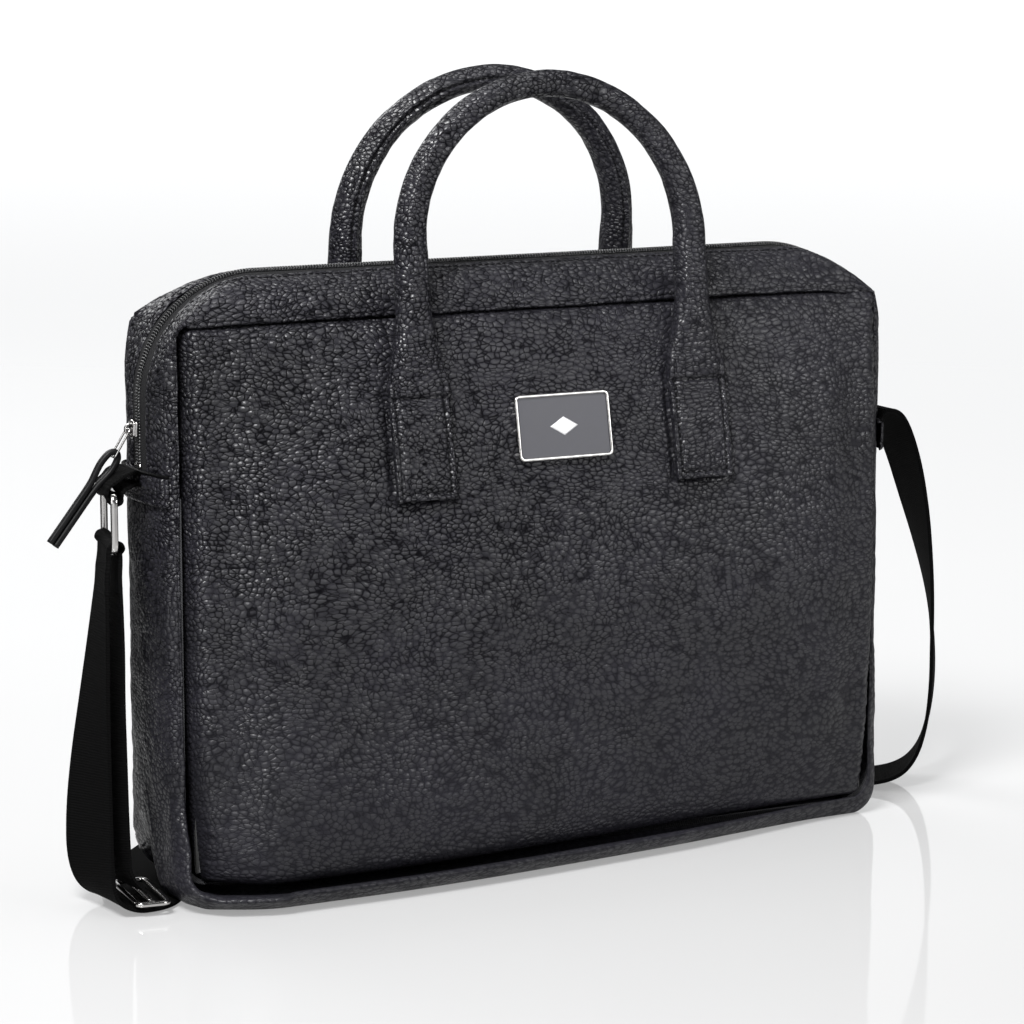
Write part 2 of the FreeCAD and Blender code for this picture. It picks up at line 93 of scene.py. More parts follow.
def area_light(name, place, target, wide, tall, power):
    """A rectangular soft box, aimed at a point."""
    data = bpy.data.lights.new(name, "AREA")
    data.shape = "RECTANGLE"
    data.size = wide
    data.size_y = tall
    data.energy = power
    lamp = bpy.data.objects.new(name, data)
    lamp.location = place
    aim = Vector(target) - Vector(place)
    lamp.rotation_euler = aim.to_track_quat("-Z", "Y").to_euler()
    bpy.context.collection.objects.link(lamp)


def room():
    """A dim room, bright near the horizon at its two white ends."""
    world = bpy.data.worlds.new("studio")
    n = Nodes(world, "Background")
    way = n.add("ShaderNodeTexCoord").outputs["Generated"]
    near_floor = n.mapped(n.axis(way, "Z"), 0.16, 0.42, 1.0, 0.0)
    facing = n.add("ShaderNodeVectorMath", {0: way, 1: ROOM_AXIS}, operation="DOT_PRODUCT").outputs["Value"]
    at_ends = n.mapped(n.math("ABSOLUTE", facing), 0.91, 0.97)
    n.finish(Color=(0.98, 0.99, 1, 1), Strength=n.total(n.product(near_floor, at_ends), ROOM_DIM))
    bpy.context.scene.world = world


def studio():
    """The room, its soft boxes, a lit white floor and the black card."""
    room()
    bpy.context.scene.view_settings.view_transform = "Standard"
    for soft_box in SOFT_BOXES:
        area_light(*soft_box)
    bpy.ops.mesh.primitive_plane_add(size=120, location=(0, 0, 0))
    floor = bpy.context.object
    floor.name = "floor"
    floor.data.materials.append(floor_material())
    mesh = bpy.data.meshes.new("black_card")
    mesh.from_pydata([(*corner, CARD_HEIGHT) for corner in CARD_CORNERS], [], [range(len(CARD_CORNERS))])
    mesh.materials.append(plain_material("black_card", (0.004, 0.004, 0.004), 0.9, specular=0.05))
    card = bpy.data.objects.new("black_card", mesh)
    card.visible_camera = False
    card.visible_shadow = False
    bpy.context.collection.objects.link(card)


# ---------------------------------------------------------------- noise and meshes

def noise(x, y, seed):
    """Smooth value noise from -1 to 1 on arrays, one cell per unit."""
    lattice = np.random.RandomState(seed).uniform(-1, 1, (256, 256))
    x, y = np.broadcast_arrays(np.asarray(x, float), np.asarray(y, float))
    cell_x, cell_y = np.floor(x).astype(int), np.floor(y).astype(int)
    part_x, part_y = x - cell_x, y - cell_y
    ease_x = part_x ** 3 * (part_x * (part_x * 6 - 15) + 10)
    ease_y = part_y ** 3 * (part_y * (part_y * 6 - 15) + 10)
    left, right = cell_x % 256, (cell_x + 1) % 256
    low, high = cell_y % 256, (cell_y + 1) % 256
    bottom = lattice[left, low] * (1 - ease_x) + lattice[right, low] * ease_x
    top = lattice[left, high] * (1 - ease_x) + lattice[right, high] * ease_x
    return bottom * (1 - ease_y) + top * ease_y


def smooth(low, high, value):
    """0 below low, 1 above high, eased between them."""
    share = np.clip((value - low) / (high - low), 0, 1)
    return share * share * (3 - 2 * share)


def hump(value, middle, width):
    """1 at the middle, falling off smoothly to both sides."""
    return np.exp(-((value - middle) / width) ** 2)


def fade(distance, reach):
    """1 where the distance is 0 or less, falling off with it."""
    return np.exp(-np.clip(distance, 0, None) / reach)


def outward(points, faces):
    """The same faces, all turned over if together they look towards the origin."""
    faces = [[int(corner) for corner in face] for face in faces]
    volume = 0.0
    for size in {len(face) for face in faces}:
        corners = points[np.array([face for face in faces if len(face) == size])]
        for step in range(1, size - 1):
            across = np.cross(corners[:, step], corners[:, step + 1])
            volume += np.einsum("ij,ij->i", corners[:, 0], across).sum()
    return faces if volume >= 0 else [face[::-1] for face in faces]


def piece(name, points, faces, material, body, uv=None):
    """A smooth piece from points in millimetres, riding on a body, its faces away from the bag's middle."""
    mesh = bpy.data.meshes.new(name)
    points = np.asarray(points, float).reshape(-1, 3)
    mesh.from_pydata((points * MM).tolist(), [], outward(points - (0, 0, MIDDLE), faces))
    mesh.validate()
    if uv is not None:
        layer = mesh.uv_layers.new(name="flat")
        corners = np.zeros(len(mesh.loops), int)
        mesh.loops.foreach_get("vertex_index", corners)
        layer.data.foreach_set("uv", (np.asarray(uv, float).reshape(-1, 2) * MM)[corners].ravel())
    mesh.polygons.foreach_set("use_smooth", [True] * len(mesh.polygons))
    mesh.materials.append(material)
    thing = bpy.data.objects.new(name, mesh)
    bpy.context.collection.objects.link(thing)
    if body:
        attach(thing, body)
    return thing


def grid_faces(rows, columns, around=False, closed=False, start=0):
    """Quads of a grid of rows by columns. around joins the last column to the first, closed the last row."""
    row_count = rows if closed else rows - 1
    column_count = columns if around else columns - 1
    row, column = np.meshgrid(np.arange(row_count), np.arange(column_count), indexing="ij")
    after_row, after_column = (row + 1) % rows, (column + 1) % columns
    corners = [row * columns + column, row * columns + after_column,
               after_row * columns + after_column, after_row * columns + column]
    return (np.stack(corners, -1).reshape(-1, 4) + start).tolist()


def sheet(name, points, thick, material, uv=None):
    """A sheet on the case through a grid of points, with its thickness in millimetres inwards."""
    thing = piece(name, points, grid_faces(*points.shape[:2]), material, "case", uv)
    layer = thing.modifiers.new("thickness", "SOLIDIFY")
    layer.thickness = thick * MM
    layer.offset = -1
    return thing


def end_caps(rows, columns, start=0):
    """The two faces that close the first and last rows of a tube."""
    last = start + (rows - 1) * columns
    return [list(range(start, start + columns))[::-1], list(range(last, last + columns))]


def swept(name, rings, material, body, closed=False):
    """A tube through rings of points, its last ring joined to the first if closed."""
    rows, columns = rings.shape[:2]
    faces = grid_faces(rows, columns, around=True, closed=closed)
    if not closed:
        faces += end_caps(rows, columns)
    return piece(name, rings, faces, material, body)


def split_edges(thing, degrees):
    """Keeps edges sharper than an angle crisp."""
    thing.modifiers.new("edges", "EDGE_SPLIT").split_angle = math.radians(degrees)


def unit(vectors):
    """The same vectors at length 1."""
    vectors = np.asarray(vectors, float)
    return vectors / np.maximum(np.linalg.norm(vectors, axis=-1, keepdims=True), 1e-9)


def directions(path, closed=False):
    """Unit directions along a path of points."""
    path = np.asarray(path, float)
    return unit(np.roll(path, -1, 0) - np.roll(path, 1, 0) if closed else np.gradient(path, axis=0))


def square_to(along, across):
    """Unit directions nearest to across that are square to along."""
    return unit(across - along * (across * along).sum(1)[:, None])


def run_length(path):
    """The distance along a path at each of its points."""
    return np.concatenate([[0], np.cumsum(np.linalg.norm(np.diff(path, axis=0), axis=1))])


def read_at(places, known, rows):
    """Rows of three numbers, read between the places where they are known."""
    return np.stack([np.interp(places, known, rows[:, k]) for k in range(3)], -1)


def circle(sides):
    """Cosines and sines round a circle."""
    angle = np.linspace(0, 2 * np.pi, sides, endpoint=False)
    return np.cos(angle), np.sin(angle)


def squarish(value, power):
    """A cosine or sine drawn out: power 2 keeps the circle, more makes it a rounded square."""
    return np.sign(value) * np.abs(value) ** (2 / power)


def bar(name, path, across, half_wide, half_thick, material, body, closed=False, power=2.0, sides=16):
    """A bar of rounded section along a path. across is the direction of its width at each point."""
    path = np.asarray(path, float)
    along = directions(path, closed)
    across = square_to(along, np.broadcast_to(np.asarray(across, float), path.shape))
    up = np.cross(along, across)
    cosine, sine = circle(sides)
    half_wide = np.broadcast_to(half_wide, len(path))[:, None, None]
    half_thick = np.broadcast_to(half_thick, len(path))[:, None, None]
    rings = path[:, None] + across[:, None] * squarish(cosine, power)[None, :, None] * half_wide
    rings = rings + up[:, None] * squarish(sine, power)[None, :, None] * half_thick
    return swept(name, rings, material, body, closed)


def stitches(name, path, outward, body, material, spacing=3.4, long=2.5, thick=0.34):
    """Thread stitches along a path, lying on a surface whose outward direction is given at each point."""
    length = run_length(path)
    count = max(2, int(length[-1] / spacing) + 1)
    points = read_at(np.linspace(0, length[-1], count), length, path)
    outward = unit(read_at(np.linspace(0, 1, count), np.linspace(0, 1, len(path)), outward))
    along = directions(points)
    side = unit(np.cross(along, outward))
    ends = np.array([-1, -0.72, 0, 0.72, 1]) * long / 2
    girth = np.array([0.25, 0.8, 1, 0.8, 0.25])[:, None] * thick
    sink = np.array([-0.55, -0.1, 0.12, -0.1, -0.55])[:, None] * thick
    cosine, sine = circle(8)
    rings = points[:, None, None] + along[:, None, None] * ends[:, None, None]
    rings = rings + outward[:, None, None] * (sink + girth * sine)[..., None]
    rings = rings + side[:, None, None] * (girth * cosine)[..., None]
    rows, columns = rings.shape[1:3]
    faces = []
    for start in range(0, count * rows * columns, rows * columns):
        faces += grid_faces(rows, columns, around=True, start=start) + end_caps(rows, columns, start)
    return piece(name, rings, faces, material, body)


# ---------------------------------------------------------------- materials

class Nodes:
    """A short way to build the nodes of a material or a world."""

    def __init__(self, owner, shader="Principled BSDF"):
        owner.use_nodes = True
        self.owner = owner
        self.tree = owner.node_tree
        self.shader = self.tree.nodes[shader]

    def add(self, kind, inputs=None, **settings):
        node = self.tree.nodes.new(kind)
        for key, value in settings.items():
            setattr(node, key, value)
        for key, value in (inputs or {}).items():
            self.put(node, key, value)
        return node

    def put(self, node, key, value):
        socket = node.inputs[key]
        if isinstance(value, bpy.types.NodeSocket):
            self.tree.links.new(value, socket)
        else:
            socket.default_value = value

    def math(self, operation, first, second=0.0, clamp=False):
        node = self.add("ShaderNodeMath", {0: first, 1: second}, operation=operation, use_clamp=clamp)
        return node.outputs[0]

    def total(self, *values):
        return reduce(lambda first, second: self.math("ADD", first, second), values)

    def product(self, *values):
        return reduce(lambda first, second: self.math("MULTIPLY", first, second), values)

    def vector(self, operation, inputs):
        return self.add("ShaderNodeVectorMath", inputs, operation=operation).outputs[0]

    def mapped(self, value, low, high, to_low=0.0, to_high=1.0):
        inputs = {"Value": value, "From Min": low, "From Max": high, "To Min": to_low, "To Max": to_high}
        return self.add("ShaderNodeMapRange", inputs, interpolation_type="SMOOTHSTEP").outputs["Result"]

    def mixed(self, share, first, second):
        """A colour between two, which are three numbers or a socket each."""
        node = self.add("ShaderNodeMix", data_type="RGBA")
        self.put(node, 0, share)
        for key, colour in ((6, first), (7, second)):
            self.put(node, key, (*colour, 1) if isinstance(colour, tuple) else colour)
        return node.outputs[2]

    def place(self):
        return self.add("ShaderNodeTexCoord").outputs["Object"]

    def flat(self):
        return self.add("ShaderNodeUVMap", uv_map="flat").outputs["UV"]

    def axis(self, place, name):
        return self.add("ShaderNodeSeparateXYZ", {"Vector": place}).outputs[name]

    def ribs(self, value, pitch):
        return self.math("SINE", self.product(value, 2 * math.pi / pitch))

    def noise(self, place, scale, detail=2.0, rough=0.5, output="Fac"):
        inputs = {"Vector": place, "Scale": scale, "Detail": detail, "Roughness": rough}
        return self.add("ShaderNodeTexNoise", inputs).outputs[output]

    def cells(self, place, scale, feature, spread):
        inputs = {"Vector": place, "Scale": scale, "Randomness": spread}
        return self.add("ShaderNodeTexVoronoi", inputs, feature=feature).outputs["Distance"]

    def warped(self, place, scale, amount):
        shift = self.noise(place, scale, 1.0, output="Color")
        centred = self.vector("SUBTRACT", {0: shift, 1: (0.5, 0.5, 0.5)})
        return self.vector("ADD", {0: place, 1: self.vector("SCALE", {0: centred, "Scale": amount})})

    def bump(self, height, distance, strength=1.0):
        inputs = {"Height": height, "Distance": distance, "Strength": strength}
        return self.add("ShaderNodeBump", inputs).outputs["Normal"]

    def finish(self, **inputs):
        for key, value in inputs.items():
            self.put(self.shader, key.replace("_", " "), value)
        return self.owner


def new_nodes(name):
    """The nodes of a new material."""
    return Nodes(bpy.data.materials.new(name))


# Painted shade: the crease colour is the creases between the pebbles darkened where shade falls in them.
CREASE_SHADE_COLOUR = (0.0010, 0.0010, 0.0014)
PEBBLE_COLOUR = (0.0110, 0.0108, 0.0134)
WORN_COLOUR = (PEBBLE_COLOUR[0] * 1.4, PEBBLE_COLOUR[1] * 1.35, PEBBLE_COLOUR[2] * 1.5)


def leather_material(name, grain=390.0, depth=0.0012, rough=0.40):
    """Pebbled leather: small domed pebbles in loose rows, parted by fine creases, with an uneven soft shine.

    The creases are darkened and their shine turned down, as painted shade; the shine is also painted lower
    towards the bag's foot and higher at its top. The grain and the painted crease shade are calmer towards
    the bag's foot and its right.
    """
    n = new_nodes(name)
    place = n.place()
    squash = n.add("ShaderNodeMapping", {"Vector": place, "Scale": (0.76, 0.9, 1.15)}).outputs[0]
    bent = n.warped(n.warped(squash, 28.0, 0.012), 330.0, 0.0009)
    dome = n.mapped(n.cells(bent, grain, "F1", 0.9), 0.0, 0.75, 1.0, 0.0)
    edge = n.cells(bent, grain, "DISTANCE_TO_EDGE", 0.9)
    width = n.mapped(n.noise(place, 120.0), 0.35, 0.65, 0.05, 0.19)
    crease = n.math("DIVIDE", edge, width, clamp=True)
    fine = n.noise(place, 1700.0, 3.0, 0.6)
    swell = n.noise(bent, 170.0)
    height = n.total(n.product(dome, 0.50), n.product(crease, 0.16), n.product(swell, 0.60),
                     n.product(fine, 0.08))
    zone = n.mapped(n.noise(place, 11.0, 3.0), 0.3, 0.7, 0.65, 1.15)
    across, up = n.axis(place, "X"), n.axis(place, "Z")
    calm = n.product(n.mapped(up, 0.0, 0.20, 0.42, 1.0), n.mapped(across, -0.10, 0.20, 1.0, 0.60))
    height = n.product(height, n.product(zone, calm))
    crease = n.math("SUBTRACT", 1.0, n.product(n.math("SUBTRACT", 1.0, crease), calm))
    patch = n.mapped(n.noise(place, 22.0, 4.0), 0.3, 0.7, 0.0, 0.5)
    # Painted shade: the colour falls to the crease shade colour in the creases; random worn patches lighten
    # it between them.
    colour = n.mixed(n.product(patch, crease), n.mixed(crease, CREASE_SHADE_COLOUR, PEBBLE_COLOUR), WORN_COLOUR)
    shine = n.mapped(n.noise(place, 60.0, 3.0), 0.3, 0.7, rough - 0.06, rough + 0.08)
    shine = n.total(shine, n.product(n.math("SUBTRACT", 1.0, crease), 0.2))
    # Painted shade and highlight: the shine is turned down in the creases and off the pebble tops, lower
    # towards the bag's foot and higher at its top.
    gloss_with_painted_shade = n.product(n.mapped(crease, 0.0, 1.0, 0.04, 0.45), n.mapped(dome, 0.0, 0.5, 0.4, 1.0),
                      n.mapped(up, 0.0, 0.19, 0.62, 1.05))
    return n.finish(Base_Color=colour, Roughness=shine, Specular_IOR_Level=gloss_with_painted_shade,
                    Normal=n.bump(height, depth))


def webbing_material():
    """Ribbed nylon webbing: weft ribs across, fine warp threads along, matt black."""
    n = new_nodes("webbing")
    flat = n.flat()
    weft = n.product(n.ribs(n.axis(flat, "Y"), 0.00125), 0.5)
    warp = n.product(n.ribs(n.axis(flat, "X"), 0.0009), 0.3)
    fuzz = n.product(n.noise(n.place(), 1800.0, 3.0), 0.5)
    height = n.total(weft, warp, fuzz)
    colour = n.mixed(n.mapped(height, -0.6, 1.0), (0.0006, 0.0006, 0.0006), (0.0030, 0.0030, 0.0031))
    return n.finish(Base_Color=colour, Roughness=0.8, Normal=n.bump(height, 0.00016, 0.8),
                    Specular_IOR_Level=0.03)


def tape_material():
    """Woven zip tape."""
    n = new_nodes("zip_tape")
    flat = n.flat()
    height = n.product(n.ribs(n.axis(flat, "Y"), 0.0008), n.ribs(n.axis(flat, "X"), 0.0011))
    colour = n.mixed(n.mapped(height, -1.0, 1.0), (0.004, 0.004, 0.0045), (0.014, 0.014, 0.015))
    return n.finish(Base_Color=colour, Roughness=0.85, Normal=n.bump(height, 0.00012), Specular_IOR_Level=0.2)


def plain_material(name, colour, rough, metal=0.0, grain=900.0, depth=0.00002, spread=0.08, specular=0.5):
    """A moulded, cast or polished surface with slight unevenness in shine and colour."""
    n = new_nodes(name)
    place = n.place()
    patch = n.noise(place, 70.0, 4.0)
    tone = n.mixed(n.mapped(patch, 0.3, 0.7), tuple(part * 0.85 for part in colour), colour)
    shine = n.mapped(patch, 0.25, 0.75, max(0.02, rough - spread), rough + spread)
    return n.finish(Base_Color=tone, Roughness=shine, Metallic=metal, Specular_IOR_Level=specular,
                    Normal=n.bump(n.noise(place, grain, 3.0), depth, 0.6))


def lining_material():
    """Twill lining cloth."""
    n = new_nodes("lining")
    place = n.place()
    twill = n.ribs(n.total(n.axis(place, "X"), n.axis(place, "Z")), 0.0012)
    colour = n.mixed(n.mapped(twill, -1.0, 1.0), (0.02, 0.02, 0.022), (0.045, 0.045, 0.05))
    return n.finish(Base_Color=colour, Roughness=0.75, Normal=n.bump(twill, 0.0001))


def floor_material():
    """White, lit acrylic: bright all over, with a mirror's faint reflection at a low angle."""
    n = new_nodes("studio_floor")
    colour = n.mixed(n.noise(n.place(), 3.0), (0.30, 0.30, 0.303), (0.32, 0.32, 0.32))
    return n.finish(Base_Color=colour, Roughness=0.05, Specular_IOR_Level=0.5, Emission_Color=(1, 1, 1, 1),
                    Emission_Strength=0.31)


# ---------------------------------------------------------------- the panels' shape

HALF_WIDE = 192.5
SEAM_LOW = 8.0
SEAM_HIGH = 279.0
HALF_TALL = (SEAM_HIGH - SEAM_LOW) / 2
MIDDLE = (SEAM_HIGH + SEAM_LOW) / 2
SEAM_Y = 28.0
BULGE = 24.5
CORNER = 7.0


def drawn_in(x, z, side):
    """Where the front's leather is drawn in tighter: along its right side, above the foot."""
    return smooth(150, 185, x) * smooth(45, 110, z) * (side < 0)


def foot_bow(x, side):
    """How far the bag's foot has sagged outwards: most at the front left, none at the right."""
    bow = smooth(-205, -150, x) * (1 - smooth(-110, 200, x))
    return 25.0 * bow if side < 0 else 6.0 * smooth(-205, -120, x) * (1 - smooth(120, 205, x))


def panel_height(x, z, side):
    """How far a panel's leather stands out from the seam plane."""
    flat_x = np.abs(x) / HALF_WIDE
    flat_z = np.abs(z - MIDDLE) / HALF_TALL
    fullness = np.where((x > 0) & (side < 0), 8, 4)
    pillow = BULGE * (1 - flat_x ** fullness) * (1 - flat_z ** 2)
    pillow = pillow + foot_bow(x, side) * (1 - smooth(6, 112, z))
    to_side = HALF_WIDE - np.abs(x)
    to_end = HALF_TALL - np.abs(z - MIDDLE)
    corner_x = np.clip(CORNER - to_side, 0, None)
    corner_z = np.clip(CORNER - to_end, 0, None)
    inner = CORNER - np.hypot(corner_x, corner_z)
    edge = np.minimum(np.minimum(to_side, to_end), np.where((corner_x > 0) & (corner_z > 0), inner, 1e3))
    roll = -11 + 13.5 * (1 - fade(edge, 2.0))
    seed = 10 if side < 0 else 40
    calm = smooth(3, 25, edge)
    waves = 1.0 * noise(x / 75, z / 60, seed) + 0.45 * noise(x / 27, z / 22, seed + 1)
    waves = waves + 0.13 * noise(x / 9, z / 8, seed + 2)
    upright = smooth(12, 60, z) * (1 - 0.6 * smooth(SEAM_HIGH - 70, SEAM_HIGH, z))
    ridge = 1.9 * hump(to_side, 8, 6.0) - 1.6 * hump(to_side, 24, 9)
    height = pillow + roll + waves * calm + ridge * upright
    stretched = 0.25 + 0.75 * smooth(18, 75, z)
    seams = ((z, HALF_WIDE + x), (z, HALF_WIDE - x), (x, SEAM_HIGH - z), (x, z - SEAM_LOW))
    for index, (along, away) in enumerate(seams):
        bend = 2.2 * noise(along / 17, away / 30, seed + 20 + index)
        pinch = noise((along + bend) / 2.2, away / 26, seed + 3 + index)
        pinch = pinch + 0.6 * noise((along + bend) / 1.5, away / 14, seed + 9 + index)
        reach = 8 + 4 * noise(along / 12, 0.5, seed + 15 + index)
        strength = fade(away - 2, reach) * smooth(0.5, 4, away)
        amount = 0.95 if index < 2 else 0.7 * stretched
        height = height + amount * pinch * strength
    return height


def panel_point(x, z, side, lift=0.0):
    """A point on a panel's leather, lifted off it by a distance."""
    x, z = np.broadcast_arrays(np.asarray(x, float), np.asarray(z, float))
    return np.stack([x, side * (SEAM_Y + panel_height(x, z, side) + lift), z], -1)


def rounded_corners(x, z):
    """Draws the corners of the panel's rectangle in to an arc."""
    away_x = np.abs(x) - (HALF_WIDE - CORNER)
    away_z = np.abs(z - MIDDLE) - (HALF_TALL - CORNER)
    inside = (away_x > 0) & (away_z > 0)
    a = np.clip(away_x / CORNER, 0, 1)
    b = np.clip(away_z / CORNER, 0, 1)
    new_x = np.sign(x) * (HALF_WIDE - CORNER + CORNER * a * np.sqrt(1 - b * b / 2))
    new_z = MIDDLE + np.sign(z - MIDDLE) * (HALF_TALL - CORNER + CORNER * b * np.sqrt(1 - a * a / 2))
    return np.where(inside, new_x, x), np.where(inside, new_z, z)


def denser_ends(count):
    """Places from -1 to 1, closer together towards the ends."""
    place = np.linspace(-1, 1, count)
    return 0.75 * place + 0.25 * np.sin(place * np.pi / 2)


def panel(name, side, material):
    """One large face of leather, pulled in to its seam all round and pressed down round its handle's tabs."""
    x, z = np.meshgrid(HALF_WIDE * denser_ends(321), MIDDLE + HALF_TALL * denser_ends(231), indexing="ij")
    x, z = rounded_corners(x, z)
    beside_tab = np.maximum(np.abs(np.abs(x) - HANDLE_HALF) - TAB_HALF, TAB_FOOT - z)
    pressed = 1.5 * hump(beside_tab, 0.3, 1.5) * (1 - smooth(238, 246, z))
    points = panel_point(x, z, side, -pressed)
    at_foot = fade(z - SEAM_LOW, 50) * np.where(x * side > 0, 5.3, 3.3)
    at_end = 1.3 * smooth(150, 185, x * side)
    gap = 2.3 + at_end - 0.8 * drawn_in(x, z, side) + at_foot
    points[..., 0] = x * (1 - gap / HALF_WIDE * np.abs(x / HALF_WIDE) ** 6)
    points[..., 2] = z - 2.2 * np.sign(z - MIDDLE) * (np.abs(z - MIDDLE) / HALF_TALL) ** 8
    skin = sheet(f"{name}_panel_leather", points, 1.4, material)
    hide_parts(f"{name}_panel")


# ---------------------------------------------------------------- the gusset's shape

SIDE_BULGE = 7.5
RIDGE_RISE = 19.0
TOP_RADIUS = 60.0
BASE_RADIUS = 45.0
FRONT_FOOT_RADIUS = 13.0
SEAM_RADIUS = 8.0
ZIP_LOW = 206.0
LOWEST = 0.02


def gusset_outline(share, first, last, count):
    """Points and outward directions of the gusset's outline at a share of its half depth.

    The outline runs clockwise seen from the front, from the left side's foot: 0 the left side, 1 the top left
    corner, 2 the top, 3 the top right corner, 4 the right side, 5 the lower right corner, 6 the base, 7 the
    lower left corner, 8 the left side again. first and last are places on it.
    """
    rise = math.sqrt(max(0.0, 1 - min(1.0, abs(share)) ** 2))
    half = HALF_WIDE + SIDE_BULGE * rise
    high = SEAM_HIGH + RIDGE_RISE * rise
    low = SEAM_LOW * smooth(0.8, 1.05, abs(share))
    top_radius = SEAM_RADIUS + (TOP_RADIUS - SEAM_RADIUS) * rise
    base_radius = SEAM_RADIUS + (BASE_RADIUS - SEAM_RADIUS) * (0.12 + 0.88 * rise)
    if share < 0:
        base_radius = base_radius + (FRONT_FOOT_RADIUS - base_radius) * smooth(0.0, 0.55, -share)
    place = np.linspace(first, last, count)
    stretch = np.clip(np.floor(place), 0, 8).astype(int)
    part = place - stretch
    points = np.zeros((count, 2))
    outward = np.zeros((count, 2))
    corner_centres = {
        1: (top_radius - half, high - top_radius, top_radius, 180),
        3: (half - top_radius, high - top_radius, top_radius, 90),
        5: (half - base_radius, low + base_radius, base_radius, 0),
        7: (base_radius - half, low + base_radius, base_radius, -90),
    }
    left_side = ((-half, low + base_radius), (-half, high - top_radius), (-1, 0))
    straight = {
        0: left_side,
        2: ((top_radius - half, high), (half - top_radius, high), (0, 1)),
        4: ((half, high - top_radius), (half, low + base_radius), (1, 0)),
        6: ((half - base_radius, low), (base_radius - half, low), (0, -1)),
        8: left_side,
    }
    for index in range(9):
        here = stretch == index
        if index in corner_centres:
            x, z, radius, start = corner_centres[index]
            angle = np.radians(start - 90 * part[here])
            outward[here] = np.stack([np.cos(angle), np.sin(angle)], -1)
            points[here] = np.array([x, z]) + outward[here] * radius
        else:
            start, end, normal = straight[index]
            points[here] = np.array(start) + (np.array(end) - np.array(start)) * part[here][:, None]
            outward[here] = normal
    return points, outward


def gusset_surface(first, last, count, profile, seed, swell=1.0):
    """The gusset's surface: a row for each step of its profile, a column for each place round the bag.

    A step is its distance from the middle, its lift off the outline, and its share of the lip's reach.
    """
    rows = []
    place = np.linspace(first, last, count)
    for depth, lift, reach in profile:
        side = -1 if depth < 0 else 1
        share = depth / SEAM_Y
        points, outward = gusset_outline(share, first, last, count)
        x, z = points[:, 0], points[:, 1]
        spread = (12.5 if side < 0 else 4.0) * (1 - smooth(60, 192, x))
        spread = spread + 8.0 * (1 - smooth(-195, -150, x)) * (side < 0)
        forward = fade(z - 8, 22) * (foot_bow(x, side) * min(1.0, reach + 0.55) + spread * reach)
        fold = 2.6 * np.sin((z - 12) / 9.5) * hump(z, 38, 20) * (x < 0) * (side < 0)
        y = depth + side * (forward * smooth(0.45, 0.9, abs(share)) + fold * reach)
        crumple = 0.55 * noise(place * 9, y / 16, seed) + 0.28 * noise(place * 31, y / 9, seed + 1)
        crumple = crumple + 0.16 * noise(place * 90, y / 6, seed + 2)
        on_floor = smooth(6, 22, z)
        upright = np.abs(outward[:, 0]) * smooth(40, 95, z) if lift < 0 else 0
        shift = lift * (1 - 0.55 * upright) + swell * crumple * (0.25 + 0.75 * on_floor) * on_floor
        shift = shift + 6.5 * reach * fade(z - 8, 30) * (x < -150) * (side < 0) * smooth(4, 16, z)
        shift = shift - 2.6 * abs(share) ** 3 * drawn_in(x, z, side)
        outside = points + outward * shift[:, None]
        rows.append(np.stack([outside[:, 0], y, np.maximum(outside[:, 1], LOWEST)], -1))
    return np.array(rows)


# Distance from the middle, lift and reach at each step from a deep groove over a rolled lip.
SEAM_ROLL = [
    (18.0, -9.5, 0.0), (19.0, -5.4, 0.0), (21.5, -4.2, 0.1), (25.0, -3.9, 0.35), (27.4, -3.8, 0.65),
    (28.6, -3.4, 0.88), (29.0, -2.5, 1.0), (28.9, -1.5, 1.0), (28.2, -0.6, 0.95), (26.6, -0.05, 0.8),
    (24.3, 0.15, 0.5), (21.5, 0.05, 0.2),
]


def seam_roll(side):
    """The gusset's profile next to one panel's seam."""
    return [(side * depth, lift, reach) for depth, lift, reach in SEAM_ROLL]


def side_place(height):
    """The place on the left side's stretch at a height on the middle of the gusset."""
    low = BASE_RADIUS
    high = SEAM_HIGH + RIDGE_RISE - TOP_RADIUS
    return (height - low) / (high - low)


def lower_gusset(material):
    """The leather wrap of both sides and the base."""
    middle = [(depth, 0.0, 0.0) for depth in np.linspace(-19, 19, 17)]
    profile = seam_roll(-1) + middle + seam_roll(1)[::-1]
    points = gusset_surface(5 - side_place(ZIP_LOW), 8 + side_place(ZIP_LOW), 420, profile, 70)
    wrap = sheet("lower_gusset_leather", points, 1.4, material)
    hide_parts("lower_gusset")


def top_gusset(name, side, material):
    """One leather strip beside the zip, with its turned edge."""
    edge = [(8.6, -2.2), (8.5, -1.0), (9.0, -0.2), (10.0, 0.15), (11.6, 0.1), (12.6, -0.28), (13.6, 0.12)]
    edge += [(depth, 0.25) for depth in np.linspace(15.5, 19.5, 4)]
    profile = [(side * depth, lift, 0.0) for depth, lift in edge] + seam_roll(side)[::-1]
    first = side_place(ZIP_LOW + 0.3)
    points = gusset_surface(first, 5 - first, 420, profile, 90 + 5 * side, 0.7)
    strip = sheet(f"{name}_top_gusset_leather", points, 1.2, material)
    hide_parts(f"{name}_top_gusset")


# ---------------------------------------------------------------- handles and their tabs

HANDLE_HALF = 75.5
FOLD_Z = 240.0
FOLD_Y = 44.0
LEAN = math.radians(6)
ARCH_FOOT = 308.0
TAB_FOOT = 190.5
TAB_HALF = 15.5


def smoothed_panel(x, z, side):
    """The panel's height under a tab, taken over the tab's width."""
    return np.max([panel_height(x + step, z, side) for step in (-13, -7, 0, 7, 13)], axis=0)


# Height on a leg, and the section's half width, half thickness and squareness there.
LEG_HEIGHTS = [190, 236, 244, 254, 264, 276, 300, 312]
LEG_HALF_WIDE = [15.5, 15.5, 15.6, 13.4, 10.8, 8.8, 8.3, 8.0]
LEG_HALF_THICK = [2.1, 2.1, 2.9, 4.9, 6.5, 7.5, 8.0, 7.9]
LEG_SQUARE = [(190, 9.0), (238, 8.0), (250, 3.6), (262, 2.4), (276, 2.05)]
ARCH_STEPS = 96


